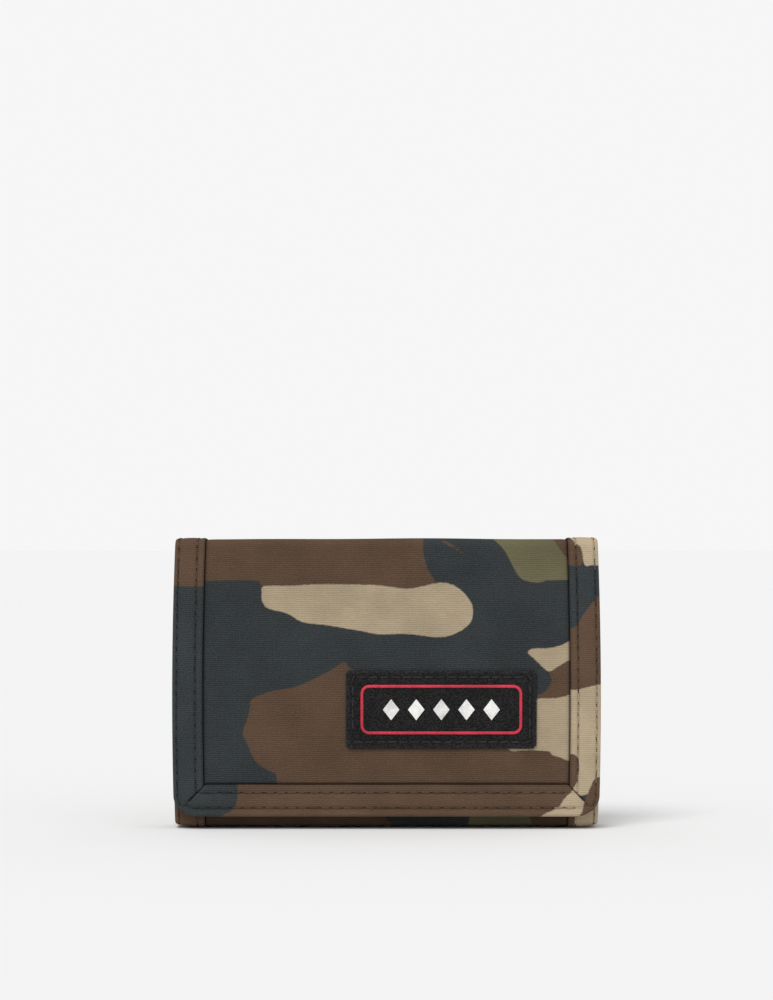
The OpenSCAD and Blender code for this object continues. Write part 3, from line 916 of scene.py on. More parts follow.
@dataclass(frozen=True)
class CamoCloth(Finish):
    """Printed canvas. The blotches come from distances stored on the piece."""

    rib: float = 0.64
    thread: float = 0.36
    # lift scales the print's colours; above 1 it is painted light, a lighter copy of the print for tape that catches
    # more light
    lift: float = 1.0

    def material(self, effects: Effects) -> bpy.types.Material:
        """Builds the material."""
        material, n, shader = self.start()
        place = n.cloth()
        weave = self.effect(n, effects.weave, Place=place, Rib=self.rib, Thread=self.thread)
        mottle = self.effect(n, effects.mottle, Place=place, Size=16.0, Low=0.9, High=1.1)
        wear = self.effect(n, effects.wear, Place=place, Worn=n.attribute("worn"))
        tone = n.math("MULTIPLY", weave.outputs["Shade"], mottle.outputs[0])
        fuzz = n.between(weave.outputs["Fibre"], 0.25, 0.8, 0.96, 1.04)
        tone = n.math("MULTIPLY", tone, fuzz)
        colour = n.scaled(self.camo(n, effects, place, self.lift, self.lift), tone)
        fleck = n.math("POWER", n.between(weave.outputs["Fibre"], 0.30, 0.80), 1.5)
        fleck = n.math("ADD", n.math("MULTIPLY", fleck, 0.043),
                       n.math("MULTIPLY", weave.outputs["Height"], 0.008))
        fleck = n.math("SUBTRACT", fleck, 0.0198)
        shine = n.add("CombineXYZ", {0: fleck, 1: fleck, 2: fleck}).outputs[0]
        colour = n.vector("ADD", colour, shine)
        pale = n.vector("ADD", n.vector("MULTIPLY", colour, (1.25, 1.25, 1.25)),
                        (0.03, 0.027, 0.022))
        colour = n.blend(n.math("MULTIPLY", wear.outputs[0], 0.4), colour, pale)
        # painted shade: the stored mask blends the colour to near black at seams, in mitres, along stitch rows, at
        # free edges and under the flap
        shade_share = n.math("MULTIPLY", n.attribute("grime"), 0.93)
        colour = n.blend(shade_share, colour, (0.003, 0.0028, 0.0026, 1))
        n.put(shader.inputs["Base Color"], colour)
        n.put(shader.inputs["Roughness"], n.between(weave.outputs["Height"], 0, 1.2, 0.98, 0.82))
        self.relief(n, shader, n.math("ADD", weave.outputs["Height"],
                                      n.math("MULTIPLY", weave.outputs["Fibre"], 0.35)))
        return material


@dataclass(frozen=True)
class PlainCloth(Finish):
    """Plain woven or herringbone cloth of one dye."""

    colour: Colour = PALETTE.black
    rib: float = 0.4
    thread: float = 0.4
    herringbone: float = 0.0

    def material(self, effects: Effects) -> bpy.types.Material:
        """Builds the material."""
        material, n, shader = self.start()
        place = n.cloth()
        if self.herringbone:
            part = n.add("SeparateXYZ", {0: place})
            zigzag = n.math("PINGPONG", part.outputs[1], self.herringbone)
            leaned = n.add("CombineXYZ", {0: n.math("ADD", part.outputs[0], zigzag),
                                          1: part.outputs[1], 2: 0.0}).outputs[0]
            place = n.add("Mapping", {"Vector": leaned, "Rotation": (0, 0, math.pi / 2)}).outputs[0]
        weave = self.effect(n, effects.weave, Place=place, Rib=self.rib, Thread=self.thread,
                            Waver=0.02)
        mottle = self.effect(n, effects.mottle, Place=place, Size=14.0, Low=0.85, High=1.2)
        wear = self.effect(n, effects.wear, Place=place, Worn=n.attribute("worn"))
        tone = n.math("MULTIPLY", weave.outputs["Shade"], mottle.outputs[0])
        colour = n.scaled(self.colour, tone)
        pale = n.vector("ADD", n.vector("MULTIPLY", colour, (1.6, 1.6, 1.6)), (0.01, 0.01, 0.01))
        colour = n.blend(wear.outputs[0], colour, pale)
        n.put(shader.inputs["Base Color"], colour)
        n.put(shader.inputs["Roughness"],
              n.between(weave.outputs["Height"], 0, 1.2, self.rough + 0.08, self.rough - 0.1))
        self.relief(n, shader, weave.outputs["Height"])
        return material


@dataclass(frozen=True)
class Thread(Finish):
    """Twisted sewing thread of one colour, or one that follows the print it lies on, with painted shade at the ends
    that sink into needle holes.
    """

    colour: Colour = PALETTE.black
    follows: bool = False

    def material(self, effects: Effects) -> bpy.types.Material:
        """Builds the material."""
        material, n, shader = self.start()
        place = n.solid()
        base = self.camo(n, effects, place, 0.8, 0.85) if self.follows else self.colour
        strand = n.add("TexWave", {"Vector": place, "Scale": 1.6, "Distortion": 1.2,
                                   "Detail": 1.0}, bands_direction="DIAGONAL").outputs[1]
        mottle = self.effect(n, effects.mottle, Place=place, Size=2.5, Low=0.7, High=1.35)
        tone = n.math("MULTIPLY", n.between(strand, 0.0, 1.0, 0.75, 1.15), mottle.outputs[0])
        # painted shade: each stitch's ends blend to near black where they sink into their needle holes
        colour = n.blend(n.math("MULTIPLY", n.attribute("hole"), 0.97), n.scaled(base, tone),
                         PAINTED_HOLE_SHADE)
        n.put(shader.inputs["Base Color"], colour)
        n.put(shader.inputs["Roughness"], n.between(strand, 0.0, 1.0, 0.95, 0.7))
        self.relief(n, shader, strand)
        return material


@dataclass(frozen=True)
class Skin(Finish):
    """Grained leather or rubber, with paler rubbed rims."""

    colour: Colour = PALETTE.black
    grain: float = 0.9
    dust: float = 1.0
    pitted: float = 0.9
    raised: float = 1.03

    def material(self, effects: Effects) -> bpy.types.Material:
        """Builds the material."""
        material, n, shader = self.start()
        place = n.solid()
        grain = self.effect(n, effects.grain, Place=place, Size=self.grain)
        mottle = self.effect(n, effects.mottle, Place=place, Size=7.0, Low=0.8, High=1.25)
        wear = self.effect(n, effects.wear, Place=place, Worn=n.attribute("worn"), Grit=0.8)
        tone = n.math("MULTIPLY", mottle.outputs[0],
                      n.between(grain.outputs["Crease"], 0.0, 1.0, self.raised, self.pitted))
        colour = n.scaled(self.colour, tone)
        pale = n.vector("ADD", n.vector("MULTIPLY", colour, (1.5, 1.5, 1.5)),
                        (0.022 * self.dust, 0.02 * self.dust, 0.02 * self.dust))
        n.put(shader.inputs["Base Color"], n.blend(wear.outputs[0], colour, pale))
        n.put(shader.inputs["Roughness"], n.between(grain.outputs["Crease"], 0.0, 1.0,
                                                    self.rough, min(1.0, self.rough + 0.2)))
        self.relief(n, shader, grain.outputs["Height"])
        return material


@dataclass(frozen=True)
class Board(Finish):
    """Pressed board: pale, with short fibres."""

    colour: Colour = (0.55, 0.50, 0.42)

    def material(self, effects: Effects) -> bpy.types.Material:
        """Builds the material."""
        material, n, shader = self.start()
        place = n.solid()
        fibre = n.noise(n.vector("MULTIPLY", place, (0.5, 1.8, 2.4)), 1.0, 4.0, 0.7)
        mottle = self.effect(n, effects.mottle, Place=place, Size=9.0, Low=0.85, High=1.1)
        tone = n.math("MULTIPLY", n.between(fibre, 0.2, 0.8, 0.8, 1.1), mottle.outputs[0])
        n.put(shader.inputs["Base Color"], n.scaled(self.colour, tone))
        n.put(shader.inputs["Roughness"], n.between(fibre, 0.2, 0.8, 0.95, 0.8))
        self.relief(n, shader, fibre)
        return material


@dataclass(frozen=True)
class Film(Finish):
    """Clear soft film with faint ripples, rubbed cloudy in places."""

    cover: float = 0.07

    def material(self, effects: Effects) -> bpy.types.Material:
        """Builds the material."""
        material, n, shader = self.start()
        place = n.solid()
        ripple = n.noise(n.vector("MULTIPLY", place, (0.05, 0.05, 0.11)), 1.0, 2.0)
        rubbed = n.noise(n.vector("MULTIPLY", place, (0.22, 0.2, 0.16)), 1.0, 4.0, 0.6)
        tint = n.blend(n.between(rubbed, 0.45, 0.75), (0.62, 0.66, 0.68, 1), (0.8, 0.83, 0.84, 1))
        n.put(shader.inputs["Base Color"], tint)
        n.put(shader.inputs["Roughness"], n.between(rubbed, 0.4, 0.8, 0.08, 0.35))
        n.put(shader.inputs["Alpha"], n.between(rubbed, 0.45, 0.85, self.cover, self.cover * 2.2))
        self.relief(n, shader, ripple)
        return material


@dataclass(frozen=True)
class Metal(Finish):
    """Plated metal with brush marks, rubbed bright where it is handled."""

    colour: Colour = (0.20, 0.20, 0.215)

    def material(self, effects: Effects) -> bpy.types.Material:
        """Builds the material."""
        material, n, shader = self.start()
        place = n.solid()
        marks = n.noise(n.vector("MULTIPLY", place, (0.5, 9.0, 9.0)), 1.0, 4.0, 0.7)
        mottle = self.effect(n, effects.mottle, Place=place, Size=2.5, Low=0.75, High=1.3)
        wear = self.effect(n, effects.wear, Place=place, Worn=0.5, Grit=0.7)
        colour = n.scaled(self.colour, mottle.outputs[0])
        colour = n.blend(n.math("MULTIPLY", wear.outputs[0], 0.6), colour, (0.5, 0.48, 0.44, 1))
        n.put(shader.inputs["Base Color"], colour)
        n.put(shader.inputs["Metallic"], 1.0)
        n.put(shader.inputs["Roughness"], n.between(marks, 0.25, 0.8, 0.26, 0.5))
        self.relief(n, shader, marks)
        return material


@dataclass(frozen=True)
class Wardrobe:
    """Every finish of the wallet, made once."""

    effects: Effects
    made: dict[str, bpy.types.Material] = field(default_factory=dict)

    def dress(self, piece: bpy.types.Object, finish: Finish) -> bpy.types.Object:
        """Gives a piece a finish, and names the record's slot that it stands for."""
        if finish.name not in self.made:
            self.made[finish.name] = finish.material(self.effects)
        piece.data.materials.clear()
        piece.data.materials.append(self.made[finish.name])
        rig.slot(piece, finish.slot)
        return piece


CANVAS = CamoCloth("printed_canvas", "camo_fabric", rough=0.95, specular=0.12, sheen=0.02,
                   bump=0.8, bump_height=0.00014)
# the binding's lift of 1.15 is painted light: the canvas print made lighter for the tape's crown catching more light
BINDING = CamoCloth("printed_binding", "camo_binding", rough=0.95, specular=0.12, sheen=0.02,
                    bump=0.8, bump_height=0.00014, rib=0.62, lift=1.15)
SEWING = Thread("sewing_thread", "camo_binding", rough=0.8, specular=0.12, bump=0.4,
                bump_height=0.00004, follows=True)
BLACK_SEWING = Thread("black_thread", "label_leather", rough=0.6, bump=0.4,
                      bump_height=0.00004, colour=(0.030, 0.029, 0.029))
POCKET_SEWING = Thread("pocket_thread", "pocket_fabric", rough=0.6, bump=0.4,
                       bump_height=0.00004, colour=(0.02, 0.019, 0.019))
LINING = PlainCloth("woven_lining", "lining_fabric", rough=0.66, specular=0.4, sheen=0.1,
                    colour=(0.016, 0.016, 0.018), rib=0.32, thread=0.32, bump=0.4)
POCKET = PlainCloth("woven_pocket", "pocket_fabric", rough=0.62, specular=0.4, sheen=0.1,
                    colour=(0.021, 0.021, 0.024), rib=0.36, thread=0.36, bump=0.4)
TAPE = PlainCloth("herringbone_tape", "zip_tape", rough=0.8, sheen=0.1,
                  colour=(0.015, 0.015, 0.017), rib=0.5, thread=0.3, herringbone=2.2, bump=0.5)
HOOK_CLOTH = PlainCloth("hook_backing", "hook_tape", rough=0.6, specular=0.45,
                        colour=(0.012, 0.012, 0.013), rib=0.5, thread=0.5, bump=0.4)
LOOP_CLOTH = PlainCloth("loop_backing", "loop_tape", rough=0.9, sheen=0.25,
                        colour=(0.014, 0.014, 0.016), rib=0.7, thread=0.5, bump=0.6)
BOARD = Board("pressed_board", "stiffener_board", rough=0.9, bump=0.3)
FILM = Film("soft_film", "clear_film", rough=0.15, specular=0.5, bump=0.3, bump_height=0.0003)
LEATHER = Skin("grained_label", "label_leather", rough=0.6, specular=0.22, bump=1.0,
               bump_height=0.00022, colour=(0.0080, 0.0073, 0.0075), grain=0.42,
               raised=2.0, pitted=0.3)
RED = Skin("red_rubber", "label_red", rough=0.45, specular=0.45, bump=0.3,
           bump_height=0.00005, colour=(0.50, 0.018, 0.045), grain=0.5)
WHITE = Skin("white_rubber", "label_white", rough=0.5, specular=0.45, bump=0.3,
             bump_height=0.00005, colour=(0.72, 0.71, 0.69), grain=0.5, dust=0.2)
COIL = Skin("moulded_coil", "zip_coil", rough=0.38, specular=0.5, bump=0.2,
            bump_height=0.00003, colour=(0.014, 0.014, 0.015), grain=0.6)
METAL = Metal("gunmetal", "zip_metal", rough=0.35, bump=0.25, bump_height=0.00002)


# ---------------------------------------------------------------- the camouflage print

@dataclass(frozen=True)
class Blotch:
    """One printed blotch: its dye and its smooth closed outline, in millimetres."""

    dye: str
    outline: tuple[tuple[float, float], ...]


FAR = 60.0

FRONT_PRINT = (
    Blotch("brown", ((-70, 74.0), (-57, 75.3), (-40, 75.5), (-37, 73.5), (-20, 72.5), (5, 72),
                     (14.5, 74), (12.6, 79), (11.3, 84), (11, 90), (8, 100), (-8, 106),
                     (-30, 104), (-48, 109), (-70, 106))),
    Blotch("brown", ((17.6, 87.6), (20.4, 86.2), (23.4, 84.0), (22.9, 83.7), (20.0, 85.5),
                     (17.2, 87.1))),
    Blotch("brown", ((46, 93), (47, 86), (51.5, 79.6), (56, 78.2), (58, 77.0), (64, 76),
                     (67, 80), (66, 90), (56, 94))),
    Blotch("olive", ((33.0, 90), (33.4, 88), (36.4, 84.4), (38.1, 81.1), (40.2, 77.2),
                     (42.4, 75.5), (46.6, 74.9), (48.6, 75.5), (53, 75.7), (55.8, 76.2),
                     (55.8, 81.1), (54.3, 83.6), (52.6, 86.1), (50.5, 90), (47, 95), (39, 96))),
    Blotch("tan", ((-37.4, 73.8), (-30, 73.9), (-19.5, 74.4), (-3.8, 74.1), (4.1, 73.1), (8.3, 73.1),
                   (15.9, 74.7), (20.2, 74.1), (23.6, 71.7), (25.8, 68.7), (26.3, 66.2),
                   (25.8, 63.2), (23.2, 60.6), (18.9, 58.7), (14.7, 58.3), (6.2, 59.3),
                   (-2.3, 59.2), (-8.3, 60.3), (-18.6, 62), (-25.5, 62.9), (-30.2, 65.5),
                   (-35.7, 66.9), (-37.8, 68.9), (-38.1, 71.8))),
    Blotch("tan", ((42.8, 53.8), (44.1, 54.8), (49.2, 55), (53, 55.9), (58.1, 57.8),
                   (59.1, 53.4), (54.3, 50.8), (51.7, 49.2), (49.5, 47.9), (47.9, 48.7),
                   (45.3, 51.3), (43.4, 53))),
    Blotch("brown", ((49.5, 48.5), (50, 45), (48.3, 42), (45.5, 40.5), (44, 38.5), (57, 38),
                     (62, 44), (61, 55), (57, 54), (54, 51))),
    Blotch("tan", ((44, 39), (52, 39.9), (62, 40.6), (62, 21.0), (51.3, 22.3), (49, 23.7),
                   (42, 24), (38, 23.8), (36.3, 25.3), (36, 28), (40, 33))),
    Blotch("brown", ((-40.8, 39.5), (-35.3, 41.8), (-27.8, 43.2), (-22.3, 45.5), (-17.6, 47.9),
                     (-14.8, 49.7), (-12.5, 50.9), (-10.7, 48.8), (0, 45), (20, 35), (36, 26),
                     (46, 23.8), (62, 21.5), (64, 8), (40, 2), (0, 0), (-31, 4), (-33.4, 15.9),
                     (-34.8, 17.4), (-38, 19.1), (-40.3, 21.4), (-41.7, 24.7), (-43.4, 28.3),
                     (-43.4, 30.2), (-41.9, 34.4), (-41.3, 37.5))),
)
SIDE_PRINT = {
    -1: (
        Blotch("brown", ((-50, 73.8), (-56, 73.8), (-65, 73.9), (-74, 74), (-74, 108), (-64, 111),
                         (-50, 108))),
    ),
    1: (
        Blotch("brown", ((52, 81), (55.6, 80.2), (59.2, 80.2), (60.3, 82), (59.8, 85.3),
                         (57.4, 87.6), (52, 89))),
        Blotch("tan", ((60.6, 80.4), (63, 80.2), (69, 80.4), (74, 86), (72, 98), (62, 100),
                       (56, 92), (57.6, 87.4), (59.8, 85.3))),
        Blotch("brown", ((50, 60.5), (56.8, 61.1), (59.4, 64.5), (61.5, 67.4), (64.9, 70.6),
                         (74, 74), (76, 56), (74, 44.2), (64.9, 44), (56.8, 42.3), (50, 42))),
        Blotch("tan", ((50, 42.3), (56.8, 42.3), (64.9, 44), (74, 44.4), (76, 30), (74, 16.5),
                       (64.5, 15.9), (62.3, 13.4), (61.1, 10.8), (58, 10.5), (56.8, 12.1),
                       (57.9, 14.7), (58.5, 18.9), (58.0, 21.9), (56.2, 22.9), (50, 23))),
        Blotch("brown", ((50, 23), (56.2, 22.9), (58.0, 21.9), (58.6, 18.9), (57.9, 14.7),
                         (56.8, 12.1), (50, 10))),
        Blotch("brown", ((61.1, 10.8), (62.3, 13.4), (64.5, 15.9), (74, 17), (74, -4), (58, -4),
                         (59.8, 5.3))),
    ),
}
NO_PRINT = {-1: (), 1: ()}
# Places along the cloth where the listed print starts and ends its change to the random one.
FLAP_FADE, LOWER_FADE, LOWER_SIDE_FADE = (97.0, 112.0), (9.0, 20.0), (8.0, 16.0)
ALL_RANDOM = (-2.0, -1.0)
FLAP_CORNER, LOWER_CORNER = 6.4, 4.0  # radii of the panels' free corners
LOWER_SIDE_PRINT = {
    -1: (Blotch("brown", ((-50, -22), (-76, -22), (-77, 6), (-74, 13), (-60, 11), (-50, 13),
                          (-48, -4))),),
    1: (Blotch("brown", ((50, -12), (57.3, -12), (57.6, 3), (57.3, 12), (50, 13))),
        Blotch("tan", ((57.6, -12), (57.8, 3), (57.4, 11), (66, 13), (76, 10), (77, -8),
                       (66, -14)))),
}
EDGE_PRINT = (
    Blotch("brown", ((-45.3, 15), (-45.3, 13.8), (-45.6, 8.9), (-47.1, 5.9), (-49.8, 4.2),
                     (-50, 0), (0, -5), (47.4, 0), (47.4, 4.1), (52.1, 6.5), (54.3, 9.5),
                     (56.8, 12.1), (57, 16), (0, 20))),
    Blotch("tan", ((47.4, 0), (47.4, 4.1), (52.1, 6.5), (54.3, 9.5), (56.8, 12.1), (58, 15),
                   (61.5, 14), (60.6, 10.8), (59.8, 5.3), (59.1, 4.2), (58.5, 0))),
    Blotch("brown", ((59.1, 4.2), (59.8, 5.3), (60.6, 10.8), (62, 15), (70, 14), (70, -2),
                     (58.5, 0))),
)
LOWER_PRINT = (
    Blotch("brown", ((-62.5, -4), (-0.5, -4), (-0.8, 4), (-2, 12), (-26, 14), (-60, 11),
                     (-70, 4))),
    Blotch("olive", ((25.3, -5), (25.5, 3), (28, 11), (38, 14), (42.5, 9), (43.5, -5))),
    Blotch("brown", ((43.5, -5), (43.3, 5), (47, 12), (56, 11), (57.7, 4), (57.7, -5))),
    Blotch("tan", ((57.7, -5), (57.9, 5), (60, 12), (70, 10), (70, -5))),
)


@dataclass(frozen=True)
class Print:
    """The camouflage as signed distances over the flat cloth, negative inside a blotch."""

    seed: int = 7
    waves: int = 26
    size: float = 46.0
    reach: float = 6.0

    def field(self, place: Array, which: int) -> Array:
        """A smooth random field in rough millimetres: a sum of seeded plane waves.

        Each wave is sin(kx x + kt t + phase), longer across than along, with wavelengths
        spread around the size; the sum is scaled so that its slope is about one.
        """
        rng = np.random.default_rng(self.seed * 100 + which)
        angle = rng.uniform(0, 2 * math.pi, self.waves)
        wavelength = self.size * rng.uniform(0.55, 1.6, self.waves)
        phase = rng.uniform(0, 2 * math.pi, self.waves)
        kx = np.cos(angle) * 2 * math.pi / wavelength * 0.6
        kt = np.sin(angle) * 2 * math.pi / wavelength * 1.25
        total = np.sin(place[:, :1] * kx + place[:, 1:] * kt + phase).sum(1)
        slope = math.sqrt(self.waves / 2) * 2 * math.pi / self.size
        return total / slope * 1.1

    def wild(self, place: Array) -> dict[str, Array]:
        """Blotches that no list gives, as thresholds of the random fields."""
        return {"brown": self.field(place, 1) + 0.5,
                "olive": self.field(place, 2) + 5.2,
                "tan": self.field(place, 3) + 4.3}

    def listed(self, place: Array, blotches: Sequence[Blotch]) -> dict[str, Array]:
        """Blotches of a list: for each dye, the least distance to its outlines."""
        out = {dye: np.full(len(place), self.reach) for dye in DYES}
        for blotch in blotches:
            outline = closed_curve(blotch.outline)
            low, high = outline.min(0) - self.reach, outline.max(0) + self.reach
            near = np.all((place > low) & (place < high), axis=1)
            if near.any():
                d = np.clip(signed_distance(place[near], outline), -self.reach, self.reach)
                out[blotch.dye][near] = np.minimum(out[blotch.dye][near], d)
        return out

    def fields(self, cloth: Array, blotches: Sequence[Blotch],
               fade: tuple[float, float]) -> dict[str, Array]:
        """Distances over a grid, changing from the list to the random print along the cloth.

        Args:
            cloth: (rows, cols, 2) places on the cloth, in millimetres.
            blotches: the list.
            fade: places along the cloth where the random print starts and is complete.
        Returns:
            (rows, cols) distances by dye.
        """
        place = cloth.reshape(-1, 2)
        share = smooth((place[:, 1] - fade[0]) / (fade[1] - fade[0]))
        listed, wild = self.listed(place, blotches), self.wild(place)
        shape = cloth.shape[:2]
        return {dye: ((1 - share) * listed[dye] + share * wild[dye]).reshape(shape)
                for dye in DYES}


PRINT = Print()


# ---------------------------------------------------------------- strips of the shell

@dataclass(frozen=True)
class Strip:
    """A run of the shell seen from its side: matching outer and inner lines.

    Both lines are (k, 2) points of depth and height. `start` is the cloth coordinate of the
    first point; the coordinate grows along the outer line.
    """

    outer: Array
    inner: Array
    start: float

    @property
    def along(self) -> Array:
        """Cloth coordinate of each point of the lines."""
        return self.start + lengths(self.outer)

    @property
    def thick(self) -> Array:
        """Thickness between the lines at each point."""
        return np.linalg.norm(self.outer - self.inner, axis=1)

    def refined(self, extra: Sequence[float]) -> "Strip":
        """The same strip with more points, at extra cloth coordinates."""
        along = self.along
        inside = [t for t in extra if along[0] < t < along[-1]]
        every = np.unique(np.concatenate([along, inside]))
        lines = [np.stack([np.interp(every, along, line[:, i]) for i in (0, 1)], axis=-1)
                 for line in (self.outer, self.inner)]
        return Strip(lines[0], lines[1], self.start)

    def place(self, x: Array, below: Array) -> Array:
        """Points at given distances below the outer line.

        A point is outer - n * below, with n the way from the inner line to the outer one.

        Args:
            x: (k, m) or (m,) places across.
            below: (k, m) or (m,) distances below the outer line, negative outside it.
        Returns:
            (k, m, 3) points.
        """
        k = len(self.outer)
        x, below = np.broadcast_arrays(np.atleast_2d(x), np.atleast_2d(below))
        x = np.broadcast_to(x, (k, x.shape[1]))
        below = np.broadcast_to(below, (k, below.shape[1]))
        n = unit(self.outer - self.inner)[:, None, :]
        spot = self.outer[:, None, :] - n * below[..., None]
        return np.concatenate([x[..., None], spot], axis=-1)


@dataclass(frozen=True)
class Folds:
    """The three strips that the shell is made of, and how finely they are drawn."""

    pitch: float = 0.9
    outer_radius: float = 2.3
    inner_radius: float = 0.9
    base_radius: float = 1.7
    taper: float = 4.2
    base_out: float = 0.62
    base_in: float = 1.92
    bend_low: float = 1.3
    bend_start: float = -0.8
    base_bend_start: float = -0.6
    bend_end: float = 2.9

    def flap(self, low: float) -> Strip:
        """From a height on the flap up over the top, to the middle of the top fold."""
        s, top, under = S.flap_face, S.spine_top, S.spine_top - S.spine_t
        runs = [len(steps(low, top, self.pitch)), 9]
        outer = bent_line([(s, low), (s, top), (s / 2, top)], [self.outer_radius], runs, 9)
        inner = bent_line([(S.flap_inner, low), (S.flap_inner, under), (s / 2, under)],
                          [self.inner_radius], runs, 9)
        return Strip(outer, inner, low)

    def back(self, inner_face: float) -> Strip:
        """From the middle of the top fold down the back, to the middle of the bottom fold."""
        s, top, base = S.flap_face, S.spine_top, S.lower_face
        under = top - S.spine_t
        runs = [9, len(steps(0, top, self.pitch)), 7]
        radii = [self.outer_radius, self.base_radius]
        tight = [self.inner_radius, self.inner_radius * 0.6]
        low, floor = self.base_out, self.base_in
        outer = bent_line([(s / 2, top), (0, top), (0, low), (base / 2, low)], radii, runs, 9)
        inner = bent_line([(s / 2, under), (inner_face, under), (inner_face, floor),
                           (base / 2, floor)], tight, runs, 9)
        beside = inner[:, 0] < inner_face + self.inner_radius - 0.01
        thin = smooth((inner[:, 1] - (under - self.taper)) / self.taper)
        inner[:, 0] -= np.where(beside, thin * (inner_face - S.lining_face), 0.0)
        return Strip(outer, inner, float(self.flap(S.flap_lift).along[-1]))

    def lower(self, high: float) -> Strip:
        """From the middle of the bottom fold up the lower panel, to a height on it."""
        base = S.lower_face
        runs = [7, len(steps(0, high, self.pitch))]
        low, floor = self.base_out, self.base_in
        outer = bent_line([(base / 2, low), (base, low), (base, high)], [self.base_radius],
                          runs, 9)
        inner = bent_line([(base / 2, floor), (S.lower_inner, floor),
                           (S.lower_inner, high)], [self.inner_radius * 0.6], runs, 9)
        return Strip(outer, inner, float(self.back(S.lining_face).along[-1]))


FOLDS = Folds()
THREAD_PITCH = 3.4


def local_strip(strip: Strip) -> Strip:
    """The same strip with its cloth coordinate equal to the height on the panel."""
    shift = strip.outer[-1, 1] - strip.along[-1]
    return Strip(strip.outer, strip.inner, strip.start + shift)


@dataclass(frozen=True)
class Stitch:
    """One stitch: a short cord that rises out of the cloth and sinks back into it."""

    length: float = 3.3
    thick: float = 0.46
    proud: float = 0.10
    pitch: float = THREAD_PITCH
    # share of the length at each end over which the painted hole shade fades out
    dark: float = 0.145
    lean: float = 0.045
    sides: int = 7

    @staticmethod
    def places() -> Array:
        """Shares of the length at which the cord has a ring."""
        return np.array([0.0, 0.0, 0.1, 0.2, 0.4, 0.6, 0.8, 0.9, 1.0, 1.0])

    def ends(self) -> Array:
        """How much painted hole shade each point of the shape gets, from how deep it sits in its needle hole, as one
        row.
        """
        s = self.places()
        value = 1 - smooth((np.minimum(s, 1 - s) - self.dark * 0.4) / (self.dark * 0.6))
        return np.repeat(value, self.sides)[None, :]

    def shape(self) -> Array:
        """The cord's grid: along, aside and out.

        Its middle line is proud * sqrt(sin(pi s)) and sinks at the ends, and its radius is
        half of the thickness times (0.8 + 0.2 sin(pi s)), closed to a point at both ends.
        """
        s = self.places()
        q = np.linspace(0, 2 * math.pi, self.sides)
        rise = self.proud * np.sin(math.pi * s) ** 0.5 - 0.02 * (1 - np.sin(math.pi * s))
        radius = self.thick / 2 * (0.8 + 0.2 * np.sin(math.pi * s))
        radius[[0, -1]] = 0.0
        aside = radius[:, None] * np.cos(q)
        out = rise[:, None] + radius[:, None] * np.sin(q) * 0.8
        along = np.broadcast_to(((s - 0.5) * self.length)[:, None], aside.shape)
        grid = np.stack([along, aside, out], axis=-1)
        grid[:, -1] = grid[:, 0]
        return grid

    def sew(self, mesher: Mesher, face: Array, under: Array, rows: Array, cols: Array,
            dyes: Optional[dict[str, Array]] = None) -> None:
        """Sews along a line drawn on a face.

        Args:
            mesher: gets the stitches.
            face: the face's grid.
            under: the matching grid beneath it, which tells which way is out.
            rows: fractional rows of the line's points.
            cols: fractional columns of the line's points.
            dyes: the face's print, which the thread follows where it is given.
        """
        line = sample(face, rows, cols)
        run = lengths(line)
        count = int((run[-1] - self.length * 0.6) / self.pitch)
        if count < 1:
            return
        index = np.arange(len(run))

        def at(where: Array) -> tuple[Array, Array]:
            """Rows and columns at distances along the line."""
            share = np.interp(where, run, index)
            return np.interp(share, index, rows), np.interp(share, index, cols)

        spot = (np.arange(count) + 0.5) * self.pitch
        middle = sample(face, *at(spot))
        tip, tail = (sample(face, *at(spot + end)) for end in (self.length / 2, -self.length / 2))
        along = unit(tip - tail)
        out = middle - sample(under, *at(spot))
        aside = unit(np.cross(along, out))
        out = unit(np.cross(aside, along))
        rng = np.random.default_rng(count * 31 + int(abs(middle[0]).sum() * 10))
        lean = rng.normal(0, self.lean, count)[:, None]
        along, aside = unit(along + aside * lean), unit(aside - along * lean)
        sag = ((middle - (tip + tail) / 2) * out).sum(axis=-1)
        # the painted hole shade of each point of a stitch
        fields = {"hole": self.ends()}
        for dye, values in (dyes or {}).items():
            fields[dye] = sample(values[..., None], *at(spot))
        mesher.copies(self.shape(), middle, np.stack([along, aside, out], axis=1), fields, sag)


STITCH = Stitch()


